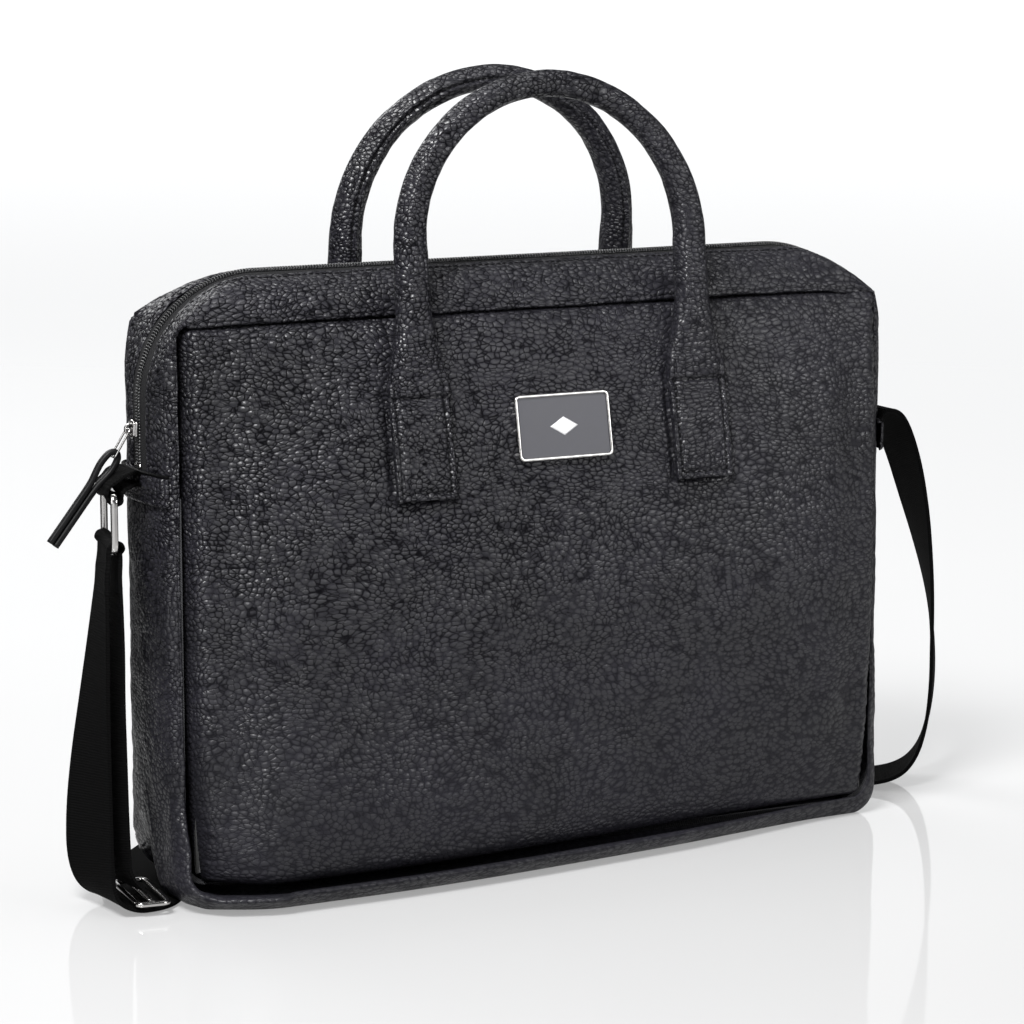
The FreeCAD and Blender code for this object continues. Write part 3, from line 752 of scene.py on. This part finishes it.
def handle_line(side):
    """The handle's middle line from tab foot to tab foot, its width direction and its sections."""
    heights = np.concatenate([np.arange(TAB_FOOT, 240, 1.0), np.arange(240, 282, 1.25),
                              np.arange(282, ARCH_FOOT, 2.5)])
    on_plane = FOLD_Y - np.tan(LEAN) * (heights - FOLD_Z)
    share = smooth(228, 246, heights)
    legs = {}
    for sign in (-1, 1):
        x = np.full(len(heights), sign * HANDLE_HALF)
        on_panel = SEAM_Y + smoothed_panel(x, heights, side) + 2.3
        legs[sign] = np.stack([x, side * (on_panel * (1 - share) + on_plane * share), heights], -1)
    angle = np.linspace(np.pi, 0, ARCH_STEPS)
    outward = np.stack([np.cos(angle), np.zeros(ARCH_STEPS), np.sin(angle)], -1)
    z = ARCH_FOOT + HANDLE_HALF * np.sin(angle)
    y = side * (FOLD_Y - np.tan(LEAN) * (z - FOLD_Z))
    arch = np.stack([HANDLE_HALF * np.cos(angle), y, z], -1)
    path = np.concatenate([legs[-1], arch, legs[1][::-1]])
    left = np.tile([-1.0, 0, 0], (len(heights), 1))
    across = np.concatenate([left, outward, -left])
    crown = 1 - 0.20 * np.sin(angle)
    level = np.ones(ARCH_STEPS)
    sections = []
    for known, values, arch_values in ((LEG_HEIGHTS, LEG_HALF_WIDE, 8.0 * crown),
                                       (LEG_HEIGHTS, LEG_HALF_THICK, 7.9 * crown),
                                       (*zip(*LEG_SQUARE), 2.05 * level),
                                       (heights, heights, ARCH_FOOT * level)):
        on_leg = np.interp(heights, known, values)
        sections.append(np.concatenate([on_leg, arch_values, on_leg[::-1]]))
    return path, across, sections


def handle_frames(side):
    """A handle's path, its directions across and out, and its width, thickness, squareness and leg height."""
    path, across, sections = handle_line(side)
    along = directions(path)
    across = square_to(along, across)
    out = np.cross(along, across) * (1 if side < 0 else -1)
    return path, across, out, sections


def tab_relief(a, wide, height):
    """How far a tab's face stands out: pressed border and foot, soft middle, step and crease at the fold."""
    flat = 1 - smooth(240, 262, height)
    border = hump(np.abs(a), wide - 2.8, 0.8)
    swell = np.clip(1 - (a / (wide - 3.6)) ** 2, 0, None) ** 0.5
    end = hump(height - TAB_FOOT, 3.2, 0.8)
    inside = np.abs(a) < wide - 2.6
    low = smooth(TAB_FOOT + 3.0, TAB_FOOT + 6.5, height)
    step = 1.15 * smooth(238.3, 239.2, height) * (1 - smooth(243, 256, height))
    crease = hump(height, 237.9, 0.8)
    return flat * (-1.15 * border + 0.55 * swell * low) - flat * 1.15 * end * inside - 1.3 * crease + step


def tube_relief(cosine, sine):
    """How far the rolled tube's skin stands out: two lips and a groove behind, two soft ridges in front."""
    back = np.arctan2(-cosine, -sine)
    lips = 0.85 * (hump(back, 0.24, 0.15) + hump(back, -0.24, 0.15))
    groove = -0.7 * hump(back, 0, 0.10)
    front = np.arctan2(cosine, sine)
    return lips + groove + 0.42 * (hump(front, 0.55, 0.22) + hump(front, -0.62, 0.22))


def handle(name, side, material):
    """Tabs, necks and rolled tube as one skin, which bends at the fold above the tabs."""
    path, across, out, sections = handle_frames(side)
    count = 72
    angle = np.linspace(0, 2 * np.pi, count, endpoint=False)
    cosine, sine = circle(count)
    length = run_length(path)
    rings = []
    for k, (wide, thick, power, height) in enumerate(zip(*sections)):
        a = squarish(cosine, power) * wide
        relief = tab_relief(a, wide, height)
        c = squarish(sine, power) * thick + np.where(sine > 0.02, relief, 0.25 * relief)
        tube = smooth(254, 278, height)
        radial = 1 + tube * tube_relief(cosine, sine) / max(thick, 1)
        wrinkle = 0.12 * noise(length[k] / 5.0, angle * 3, 7) + 0.20 * noise(length[k] / 16.0, angle * 1.2, 8)
        radial = radial + wrinkle / max(wide, 1) * (0.4 + tube)
        radial = radial + hump(height, 252, 9) * 0.05 * noise(length[k] / 3.0, angle * 2.2, 9)
        rings.append(path[k] + across[k] * (a * radial)[:, None] + out[k] * (c * radial)[:, None])
    rings = np.array(rings)
    if side > 0:
        rings = rings[:, ::-1]
    thing = swept(f"{name}_handle_leather", rings, material, None)
    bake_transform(thing)
    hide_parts(f"{name}_handle_sleeve", f"{name}_tab_left", f"{name}_tab_right")


def handle_stitches(name, side, thread):
    """Thread round each tab's border and along the tube's inner seam."""
    inset = TAB_HALF - 3.0
    foot = TAB_FOOT + 3.2
    down = np.arange(235, foot, -1.0)
    across = np.arange(-inset, inset, 1.0)
    x = np.concatenate([np.full(len(down), -inset), across, np.full(len(down), inset)])
    z = np.concatenate([down, np.full(len(across), foot), down[::-1]])
    for label, sign in (("left", -1), ("right", 1)):
        path = panel_point(x + sign * HANDLE_HALF, z, side, 3.6)
        outward = np.tile([0.0, side, 0.2], (len(path), 1))
        stitches(f"{name}_tab_stitches_{label}", path, outward, "case", thread)
    path, across, out, sections = handle_frames(side)
    tube = slice(92, len(path) - 92)
    seam = path[tube] - out[tube] * (sections[1][tube] - 0.35)[:, None]
    stitches(f"{name}_handle_stitches", seam, -out[tube], f"{name}_handle", thread,
             spacing=3.2)


# ---------------------------------------------------------------- zip

ZIP_FIRST = side_place(ZIP_LOW + 3)
ZIP_LAST = 5 - side_place(ZIP_LOW + 3)


# The tape's distance from the zip's middle and its lift off the gusset at each step.
TAPE_STEPS = [
    (1.2, -1.3), (2.2, -1.25), (2.9, -0.95), (3.5, -1.3), (5.2, -1.7), (7.4, -1.95), (9.6, -2.3), (14, -2.6),
]
COIL_PITCH = 1.45
COIL_STEPS = 10
ZIP_SEAM = 12.6


def zip_line(share, count, sideways=0.0):
    """Points and outward directions along the zip, at a share of the gusset's half depth."""
    points, outward = gusset_outline(share, ZIP_FIRST, ZIP_LAST, count)
    flat = np.zeros(count)
    return (np.stack([points[:, 0], flat, points[:, 1]], -1),
            np.stack([outward[:, 0], flat + sideways, outward[:, 1]], -1))


def zip_tape(name, side, material):
    """A woven tape between the coil and the leather strip."""
    profile = [(side * depth, lift, 0.0) for depth, lift in TAPE_STEPS]
    first = side_place(ZIP_LOW - 4)
    points = gusset_surface(first, 5 - first, 360, profile, 120, 0.15)
    depth = np.array([step[0] for step in profile])
    uv = np.stack(np.broadcast_arrays(depth[:, None], run_length(points[3])[None, :]), -1)
    tape = sheet(f"zip_tape_{name}_cloth", points, 0.5, material, uv)
    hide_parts(f"zip_tape_{name}")


def zip_coil(material):
    """Two closed nylon coils, turn by turn along the zip."""
    line, out = zip_line(0, 900)
    length = run_length(line)
    count = int(length[-1] / COIL_PITCH) * COIL_STEPS
    at = np.linspace(0, length[-1], count)
    middle = read_at(at, length, line)
    upward = unit(read_at(at, length, out))
    for name, side, phase in (("front", -1, 0.0), ("rear", 1, np.pi)):
        angle = np.arange(count) / COIL_STEPS * 2 * np.pi * side + phase
        y = side * 0.85 + 1.45 * np.cos(angle)
        lift = -0.35 + 0.85 * np.sin(angle)
        path = middle + y[:, None] * Y_AXIS + upward * lift[:, None]
        coil = bar(f"zip_coil_{name}", path, upward, 0.38, 0.38, material, "case", sides=6)
        if side < 0:
            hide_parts("zip_coil")


def zip_stitches(thread):
    """Two rows of thread along the leather strips beside the zip."""
    count = 500
    for name, side in (("front", -1), ("rear", 1)):
        row = gusset_surface(ZIP_FIRST, ZIP_LAST, count, [(side * ZIP_SEAM, 0.0, 0.0)], 90 + 5 * side, 0.7)[0]
        out = zip_line(ZIP_SEAM / SEAM_Y, count, 0.25 * side)[1]
        stitches(f"zip_stitches_{name}", row, out, "case", thread, spacing=3.3, thick=0.3)


def zip_ends(metal):
    """The small metal stops at the zip's two ends."""
    for name, side in (("left", -1), ("right", 1)):
        path = [(side * 199.9, y, ZIP_LOW + 2) for y in np.linspace(-3.3, 3.3, 7)]
        stop = bar(f"zip_stop_{name}_metal", path, (0, 0, 1), 1.4, 0.7, metal, "case", power=4)
        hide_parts(f"zip_stop_{name}")


SLIDER_Z = 226.0
SLIDER_X = -202.4
PULL_PIVOT = np.array([-212.5, 0.0, 213.5])
PULL_LEAN = math.radians(38)
# The cord's loop: distance along it from the pivot, and half the gap between its two strands.
PULL_OUTLINE = [
    (50, 1.62), (42, 1.62), (34, 1.6), (26, 1.6), (20, 1.62), (15, 1.9), (11, 2.6), (7, 3.2), (3.4, 3.2),
    (0, 2.6), (-1.9, 1.3), (-2.4, 0.0),
]


def zip_slider(metal):
    """The slider: a waisted body, its two side walls and the crown that the link hangs in."""
    heights = np.linspace(-4.5, 4.5, 19)
    path = np.stack([np.full(19, SLIDER_X), np.zeros(19), SLIDER_Z + heights], -1)
    half = 2.9 + 0.9 * smooth(-1, 4, heights) - 0.5 * smooth(-2.5, -4.5, heights)
    taper = np.clip(1 - (np.abs(heights) / 4.7) ** 6, 0.2, 1)
    body = bar("zip_slider_body", path, Y_AXIS, half * taper, 1.15 * taper ** 0.5, metal, "zip_slider",
               power=4.5, sides=24)
    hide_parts("zip_slider")
    inner = slice(2, 17)
    for name, side in (("front", -1), ("rear", 1)):
        wall = path[inner] + (0.9, 0, 0) + (side * (half[inner] + 0.1))[:, None] * Y_AXIS
        bar(f"zip_slider_wall_{name}", wall, X_AXIS, 0.9, 0.45, metal, "zip_slider", power=3)
    angle = np.linspace(-0.55 * np.pi, 0.55 * np.pi, 21)
    crown = np.stack([SLIDER_X - 1.3 - 2.5 * np.cos(angle), np.zeros(21), SLIDER_Z + 2.6 * np.sin(angle)], -1)
    bar("zip_slider_crown", crown, Y_AXIS, 0.95, 0.5, metal, "zip_slider", power=3)


def rounded_loop(half_a, half_b, radius):
    """Points of a rounded rectangle in two axes, anticlockwise, 2 mm apart or less."""
    points = []
    for sign_a, sign_b, start in ((1, 1, 0), (-1, 1, 90), (-1, -1, 180), (1, -1, 270)):
        for angle in np.radians(np.linspace(start, start + 90, 8)):
            points.append((sign_a * (half_a - radius) + radius * math.cos(angle),
                           sign_b * (half_b - radius) + radius * math.sin(angle)))
    dense = []
    for (a0, b0), (a1, b1) in zip(points, points[1:] + points[:1]):
        steps = max(1, int(math.hypot(a1 - a0, b1 - b0) / 2.0))
        dense += [(a0 + (a1 - a0) * k / steps, b0 + (b1 - b0) * k / steps) for k in range(steps)]
    return np.array(dense)


def loop_path(centre, a_axis, b_axis, half_a, half_b, radius):
    """A rounded rectangle of points about a centre, in the plane of two axes."""
    loop = rounded_loop(half_a, half_b, radius)
    return centre + loop[:, :1] * a_axis + loop[:, 1:] * b_axis


def zip_pull(metal, material):
    """The wire link and the folded leather cord that hangs in it."""
    top = np.array([-204.7, 0.0, SLIDER_Z])
    down = unit(PULL_PIVOT - top)
    half = np.linalg.norm(PULL_PIVOT - top) / 2
    path = loop_path(top + down * half, Y_AXIS, down, 2.5, half + 0.1, 1.3)
    facing = np.cross(down, Y_AXIS)
    link = bar("zip_link_wire", path, facing, 0.5, 0.5, metal, "zip_link", closed=True)
    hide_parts("zip_link")
    along = np.array([-math.sin(PULL_LEAN), 0, -math.cos(PULL_LEAN)])
    beside = np.array([-math.cos(PULL_LEAN), 0, math.sin(PULL_LEAN)])
    outline = PULL_OUTLINE + [(a, -b) for a, b in PULL_OUTLINE[-2::-1]]
    path = spline([PULL_PIVOT + along * a + beside * b for a, b in outline], 8)
    pull = bar("zip_pull_leather", path, Y_AXIS, 1.9, 1.55, material, "zip_pull",
               power=2.6, sides=20)
    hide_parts("zip_pull")


def spline(control, steps):
    """A smooth line through control points."""
    control = np.asarray(control, float)
    padded = np.concatenate([[2 * control[0] - control[1]], control, [2 * control[-1] - control[-2]]])
    points = []
    for k in range(1, len(padded) - 2):
        before, start, end, after = padded[k - 1:k + 3]
        for share in np.arange(steps) / steps:
            square, cube = share ** 2, share ** 3
            points.append(0.5 * (2 * start + (end - before) * share
                                 + (2 * before - 5 * start + 4 * end - after) * square
                                 + (3 * start - before - 3 * end + after) * cube))
    points.append(control[-1])
    return np.array(points)


# ---------------------------------------------------------------- ring, tab and shoulder strap

RING_TURN = math.radians(-14)
RING_TOP = np.array([-215.0, 0.0, 198.5])
RING_DROP = 27.0
RING_ACROSS = np.array([-math.sin(RING_TURN), math.cos(RING_TURN), 0])
STRAP_HALF = 18.5
STRAP_THICK = 1.8
# The webbing's section: places across it, and how much thicker or thinner it is at the two woven edges.
BAND_SPOTS = np.array([-1, -0.97, -0.94, -0.88, -0.6, -0.3, 0, 0.3, 0.6, 0.88, 0.94, 0.97, 1])
BAND_SELVAGE = np.interp(np.abs(BAND_SPOTS), [0, 0.87, 0.90, 0.96, 1], [0, 0, 0.13, 0.13, -0.25])
# The middle line of the tab that holds the ring, out over the ring and back, in X and Z.
TAB_LINE = [
    (-198.6, 203.0), (-201.5, 205.4), (-205.5, 207.3), (-210, 206.2), (-214.2, 203.4), (-217.0, 201.0),
    (-218.1, 198.5), (-217.0, 195.9), (-214.6, 194.9), (-212.4, 196.2), (-210.2, 199.2), (-206.5, 201.2),
    (-202.5, 200.6), (-198.6, 198.2),
]

# The strap's route in metres and the turn of its width from the Y axis in degrees, as the frame has it.
STRAP_ROUTE = [
    (0.2035, 0, 0.210, 0), (0.210, 0, 0.2108, 0), (0.2175, 0, 0.204, 0), (0.227, 0.0005, 0.183, -4),
    (0.235, 0.002, 0.158, -10), (0.242, 0.004, 0.134, -19), (0.249, 0.007, 0.108, -28),
    (0.2535, 0.010, 0.084, -34), (0.2565, 0.013, 0.058, -36), (0.256, 0.016, 0.035, -36),
    (0.252, 0.019, 0.017, -36), (0.243, 0.024, 0.006, -34), (0.226, 0.033, 0.0024, -32),
    (0.203, 0.045, 0.002, -29), (0.172, 0.060, 0.002, -26), (0.140, 0.075, 0.002, -23),
    (0.104, 0.089, 0.002, -18), (0.068, 0.098, 0.002, -13), (0.030, 0.105, 0.002, -8),
    (-0.008, 0.109, 0.002, -3), (-0.046, 0.110, 0.002, 2), (-0.084, 0.106, 0.002, 10),
    (-0.118, 0.096, 0.002, 22), (-0.146, 0.080, 0.002, 36), (-0.166, 0.060, 0.002, 50),
    (-0.1815, 0.040, 0.002, 58), (-0.194, 0.0233, 0.002, 62), (-0.201, 0.0045, 0.002, 58),
    (-0.2035, -0.009, 0.002, 34), (-0.209, -0.015, 0.002, 6), (-0.219, -0.0165, 0.0026, 3),
    (-0.229, -0.016, 0.008, 8), (-0.233, -0.014, 0.022, 15), (-0.232, -0.011, 0.046, 14),
    (-0.2295, -0.008, 0.072, 8), (-0.226, -0.005, 0.099, 0), (-0.2225, -0.003, 0.128, -7),
    (-0.2196, -0.001, 0.154, -13),
]
RETURN_ROUTE = [
    (-0.2125, 0.0005, 0.154, -13), (-0.2145, -0.002, 0.128, -7), (-0.218, -0.004, 0.099, 0),
    (-0.221, -0.007, 0.072, 8), (-0.2232, -0.010, 0.046, 13), (-0.2235, -0.013, 0.026, 13),
    (-0.2195, -0.015, 0.015, 8), (-0.211, -0.016, 0.0096, 5),
]


def nurbs(name, values):
    """Points of a smooth spline whose control points are given, in metres."""
    curve = bpy.data.curves.new(name, "CURVE")
    curve.dimensions = "3D"
    line = curve.splines.new("NURBS")
    line.points.add(len(values) - 1)
    for point, value in zip(line.points, values):
        point.co = (*value, 1)
    line.order_u = 3
    line.use_endpoint_u = True
    curve.resolution_u = 8
    holder = bpy.data.objects.new(name, curve)
    bpy.context.collection.objects.link(holder)
    bpy.context.view_layer.update()
    mesh = bpy.data.meshes.new_from_object(holder)
    points = np.array([tuple(v.co) for v in mesh.vertices])
    bpy.data.objects.remove(holder)
    bpy.data.curves.remove(curve)
    bpy.data.meshes.remove(mesh)
    return points


def turning_route(name, route):
    """A route's points in metres and the turns of its width in degrees, both smoothed."""
    path = nurbs(f"{name}_line", [point[:3] for point in route])
    angles = [math.radians(point[3]) for point in route]
    turned = nurbs(f"{name}_turns", [(math.cos(angle), math.sin(angle), 0) for angle in angles])
    return path, np.degrees(np.arctan2(turned[:, 1], turned[:, 0]))


def ribbon(name, path, turns, material, body="case", half_wide=STRAP_HALF, thick=STRAP_THICK):
    """A flat woven band through points in millimetres, its width turned from the Y axis by degrees."""
    path = np.asarray(path, float)
    turns = np.radians(np.broadcast_to(np.asarray(turns, float), len(path)))
    along = directions(path)
    across = square_to(along, np.stack([-np.sin(turns), np.cos(turns), np.zeros(len(turns))], -1))
    up = np.cross(along, across)
    half = thick / 2 + BAND_SELVAGE
    a = np.concatenate([BAND_SPOTS, BAND_SPOTS[::-1]])
    c = np.concatenate([half, -half[::-1]])
    a = a[None, :] * np.broadcast_to(np.asarray(half_wide, float), len(path))[:, None]
    rings = path[:, None] + across[:, None] * a[..., None] + up[:, None] * c[None, :, None]
    uv = np.stack(np.broadcast_arrays(a, run_length(path)[:, None]), -1)
    rows, columns = a.shape
    faces = grid_faces(rows, columns, around=True) + end_caps(rows, columns)
    band = piece(name, rings, faces, material, body, uv)
    split_edges(band, 50)
    return band


def shoulder_strap(webbing):
    """The long webbing, its second strand and its fold through the ring."""
    path, turns = turning_route("strap", STRAP_ROUTE)
    strap = ribbon("shoulder_strap", path / MM, turns, webbing)
    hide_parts("strap_webbing")
    back, back_turns = turning_route("return", RETURN_ROUTE)
    strand = ribbon("strap_second_strand", back / MM, back_turns, webbing)
    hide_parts("strap_return")
    low = RING_TOP - np.array([0, 0, RING_DROP])
    first = path[-1] / MM
    last = back[0] / MM
    overlap = 4
    under_first = first + unit(path[-6] - path[-1]) * overlap
    under_last = last + unit(back[5] - back[0]) * overlap
    reach = 1.6 + STRAP_THICK / 2 + 0.15
    outer = [under_first, first, first + [0.5, 0.2, 6], low + [-reach - 0.3, 0, -5], low + [-reach, 0, 0]]
    over = [low + [-reach * 0.7, 0, reach * 0.72], low + [0, 0, reach], low + [reach * 0.7, 0, reach * 0.72]]
    inner = [low + [reach, 0, 0], low + [reach + 0.2, 0, -5], last + [0.1, -0.1, 6], last, under_last]
    fold = spline(outer + over + inner, 8)
    end_turn = math.degrees(RING_TURN)
    share = np.linspace(0, 1, len(fold))
    fold_turns = np.interp(share, [0, 0.25, 0.75, 1], [turns[-1], end_turn, end_turn, back_turns[0]])
    loop = ribbon("strap_fold", fold, fold_turns, webbing, None, STRAP_HALF + 0.15, STRAP_THICK + 0.35)
    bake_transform(loop)
    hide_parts("strap_end_loop")


def ring_and_tab(metal, webbing):
    """The rectangular ring, the doubled webbing tab that holds it, and the strap's anchor on the right."""
    centre = RING_TOP - RING_DROP / 2 * Z_AXIS
    path = loop_path(centre, RING_ACROSS, Z_AXIS, 20.5, RING_DROP / 2, 4.0)
    facing = np.cross(RING_ACROSS, Z_AXIS)
    ring = bar("ring_cast", path, facing, 1.75, 1.45, metal, "ring", closed=True, power=3, sides=20)
    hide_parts("strap_ring")
    points = spline([(x, 0, z) for x, z in TAB_LINE], 8)
    turns = math.degrees(RING_TURN) * smooth(201, 214, -points[:, 0])
    half_wide = 9.0 + 9.0 * smooth(202, 212, -points[:, 0])
    tab = ribbon("ring_tab_webbing", points, turns, webbing, "case", half_wide, 1.6)
    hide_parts("ring_tab")
    anchor_line = spline([(199.2, 0, 204.5), (201.2, 0, 207.6), (203.6, 0, 210.0)], 6)
    anchor = ribbon("strap_anchor_webbing", anchor_line, 0, webbing, "case", 18.3, 1.7)
    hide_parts("strap_anchor")


def buckle(metal):
    """The strap's three-bar adjuster, lying on the floor."""
    turn = math.radians(-5.7)
    centre = np.array([-208.5, -16, 6.4])
    lengthwise = np.array([-math.sin(turn), math.cos(turn), 0])
    crosswise = np.array([math.cos(turn), math.sin(turn), 0])
    path = loop_path(centre, lengthwise, crosswise, 21.6, 7.6, 3.0)
    rim = bar("strap_buckle_frame", path, Z_AXIS, 1.1, 1.4, metal, "case", closed=True, power=3)
    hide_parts("strap_buckle")
    middle = [centre + lengthwise * t for t in np.linspace(-21.2, 21.2, 9)]
    bar("strap_buckle_bar", middle, Z_AXIS, 1.0, 1.5, metal, "case", power=3)


# ---------------------------------------------------------------- badge

BADGE_Z = 220.0
BADGE_TILT = math.radians(11.8)


def badge(bright, satin, pale):
    """A bright rim round a dark satin plate, with a plain raised lozenge."""
    up = np.array([0, math.sin(BADGE_TILT), math.cos(BADGE_TILT)])
    out = np.array([0, -math.cos(BADGE_TILT), math.sin(BADGE_TILT)])
    spots_x, spots_z = np.meshgrid(np.linspace(-25, 25, 21), BADGE_Z + np.linspace(-15, 15, 13))
    proud = panel_height(spots_x, spots_z, -1) + (spots_z - BADGE_Z) * math.tan(BADGE_TILT)
    foot = np.array([0, -(SEAM_Y + float(np.percentile(proud, 80)) + 0.2), BADGE_Z])

    def raised(name, outline, levels, material):
        """A plate through levels, each a scale of its outline and a height off the badge's foot."""
        flat = outline[:, :1] * X_AXIS + outline[:, 1:] * up
        rings = np.array([foot + out * lift + flat * scale for scale, lift in levels])
        return swept(name, rings, material, "case")

    plate = raised("badge_plate_satin", rounded_loop(24.6, 15.0, 1.3),
                   [(1.0, -0.6), (1.0, 1.65), (0.992, 1.9)], satin)
    split_edges(plate, 35)
    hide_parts("badge_plate")
    base = raised("badge_base", rounded_loop(25.1, 15.5, 2.0),
                  [(1.0, -0.6), (1.0, 0.75), (0.992, 1.0)], bright)
    split_edges(base, 35)
    path = loop_path(foot + out * 1.9, X_AXIS, up, 24.8, 15.2, 2.0)
    rim = bar("badge_rim", path, out, 0.95, 0.75, bright, "case", closed=True, power=3.2, sides=20)
    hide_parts("badge_frame")
    lozenge = np.array([(7.5, 0), (0, 4.5), (-7.5, 0), (0, -4.5)])
    emblem = raised("badge_lozenge", lozenge, [(1.0, 1.6), (1.0, 2.15), (0.86, 2.45)], pale)
    emblem.data.polygons.foreach_set("use_smooth", [False] * len(emblem.data.polygons))
    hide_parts("badge_emblem")


# ---------------------------------------------------------------- hems and the parts inside

# The height against the zip's lower end and the lift off the side wall at each step of a hem.
HEM_STEPS = [
    (-14.5, 0.1), (-14.1, 1.8), (-13.2, 2.4), (-12, 2.4), (-11, 1.6), (-10, 2.4), (-5, 2.5), (-1.5, 2.6),
    (-0.2, 2.4), (0.5, 1.9), (0.6, -1.6),
]


def side_hems(material, groove_shade_material):
    """The turned-over top edges of the side walls, and along each a near-black strip painted as the shade of
    the groove above the hem.
    """
    depth = np.linspace(-27.4, 27.4, 60)
    wall = HALF_WIDE + SIDE_BULGE * np.sqrt(1 - (depth / SEAM_Y) ** 2)
    taper = 1 - 0.25 * smooth(24, 27.5, np.abs(depth))
    for name, sign in (("left", -1), ("right", 1)):
        rows = []
        for drop, lift in HEM_STEPS:
            z = ZIP_LOW + drop + 0.35 * noise(depth / 14, 0.3, 61)
            x = wall + lift * taper + 0.12 * noise(depth / 5, drop / 5, 62)
            rows.append(np.stack([sign * x, depth, z], -1))
        hem = sheet(f"side_hem_{name}_leather", np.array(rows), 0.9, material)
        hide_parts(f"side_hem_{name}")
        # The near-black strip along the hem's top is painted shade for the groove there.
        bar(f"side_hem_{name}_edge", rows[-2], Z_AXIS, 0.75, 1.0, groove_shade_material, "case")


def slab(name, x, z, near, far, material):
    """A closed pad in the case between two depths over a grid."""
    points = np.stack([np.stack(np.broadcast_arrays(x, y, z), -1) for y in (near, far)])
    rows, columns = x.shape
    count = rows * columns
    faces = grid_faces(rows, columns)
    faces += [face[::-1] for face in grid_faces(rows, columns, start=count)]
    edge = [r * columns for r in range(rows)]
    edge += [(rows - 1) * columns + c for c in range(1, columns)]
    edge += [r * columns + columns - 1 for r in range(rows - 2, -1, -1)]
    edge += list(range(columns - 2, 0, -1))
    for first, second in zip(edge, edge[1:] + edge[:1]):
        faces.append([second, first, first + count, second + count])
    return piece(name, points, faces, material, "case")


def insides(foam, lining):
    """Foam pads behind the panels, the padded divider and the slip pocket."""
    x, z = np.meshgrid(np.linspace(-184, 184, 60), np.linspace(16, 271, 44), indexing="ij")
    pillow = (BULGE - 2) * (1 - (np.abs(x) / 186) ** 4) * (1 - (np.abs(z - MIDDLE) / 129) ** 2)
    for name, side in (("front", -1), ("rear", 1)):
        near = side * (SEAM_Y + 0.4 + np.clip(pillow - 3.2, 0, None))
        pad = slab(f"{name}_foam_pad", x, z, near, side * (SEAM_Y + 0.05), foam)
        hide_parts(f"{name}_padding")
    low, high = (np.array(corner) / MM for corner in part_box("laptop_divider"))
    ease = np.sin(np.linspace(-np.pi / 2, np.pi / 2, 40))
    x, z = np.meshgrid((low[0] + high[0]) / 2 + ease * (high[0] - low[0]) / 2,
                       (low[2] + high[2]) / 2 + ease * (high[2] - low[2]) / 2, indexing="ij")
    rim = np.minimum(np.minimum(x - low[0], high[0] - x), np.minimum(z - low[2], high[2] - z))
    half = 0.5 + 2.0 * (1 - np.exp(-rim / 3.0)) + 0.15 * noise(x / 40, z / 40, 5)
    middle = (low[1] + high[1]) / 2
    divider = slab("laptop_divider_padded", x, z, middle - half, middle + half, lining)
    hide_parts("laptop_divider")
    low, high = (np.array(corner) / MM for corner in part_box("inner_pocket"))
    x, z = np.meshgrid(np.linspace(low[0], high[0], 40), np.linspace(low[2], high[2], 30), indexing="ij")
    sag = 0.25 * noise(x / 20, z / 20, 6)
    pocket = slab("inner_pocket_cloth", x, z, low[1] + 0.3 + sag, high[1] - 0.05, lining)
    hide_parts("inner_pocket")


def carried_over(materials):
    """Materials on the frame's own nodes that stay: boards, linings and the handles' rope cores."""
    for node, material in materials.items():
        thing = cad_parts[node]
        thing.data.materials.clear()
        thing.data.materials.append(material)


camera()
studio()
leather = leather_material("pebbled_leather")
rolled = leather_material("rolled_leather", 430.0, 0.0010, 0.34)
pull_leather = plain_material("pull_leather", (0.0035, 0.0035, 0.0038), 0.45, grain=700.0, depth=0.0001,
                              specular=0.16)
# Near-black for the hems' top strips: painted shade for the groove above each hem.
hem_groove_shade = plain_material("hem_groove_shade", (0.0012, 0.0012, 0.0013), 0.6, depth=0.0001, specular=0.04)
webbing = webbing_material()
tape = tape_material()
lining = lining_material()
thread = plain_material("thread", (0.006, 0.006, 0.0065), 0.8, grain=3000.0, depth=0.00005, specular=0.04)
nylon = plain_material("coil_nylon", (0.012, 0.012, 0.013), 0.32)
nickel = plain_material("polished_nickel", (0.50, 0.49, 0.48), 0.15, 1.0, 1500.0, 0.000008, 0.05)
badge_satin = plain_material("dark_satin", (0.055, 0.055, 0.063), 0.45, 0.3, 2500.0, 0.00001, 0.03)
badge_pale = plain_material("pale_satin_nickel", (0.62, 0.62, 0.63), 0.45, 0.3, 2500.0, 0.00001, 0.03)
foam = plain_material("open_foam", (0.12, 0.12, 0.125), 0.9, grain=1500.0, depth=0.0004)
board = plain_material("board", (0.05, 0.05, 0.05), 0.7, grain=700.0, depth=0.0001)
rope = plain_material("rope_core", (0.30, 0.27, 0.22), 0.9, grain=1200.0, depth=0.0003)

for name, side in (("front", -1), ("rear", 1)):
    panel(name, side, leather)
    top_gusset(name, side, leather)
    zip_tape(name, side, tape)
    handle(name, side, rolled)
    handle_stitches(name, side, thread)
lower_gusset(leather)
side_hems(leather, hem_groove_shade)
zip_coil(nylon)
zip_stitches(thread)
zip_ends(nickel)
zip_slider(nickel)
zip_pull(nickel, pull_leather)
ring_and_tab(nickel, webbing)
shoulder_strap(webbing)
buckle(nickel)
badge(nickel, badge_satin, badge_pale)
insides(foam, lining)
carried_over({
    "front_stiffener": board, "rear_stiffener": board, "base_board": board, "front_lining": lining,
    "rear_lining": lining, "gusset_lining": lining, "front_handle_core": rope, "rear_handle_core": rope,
})
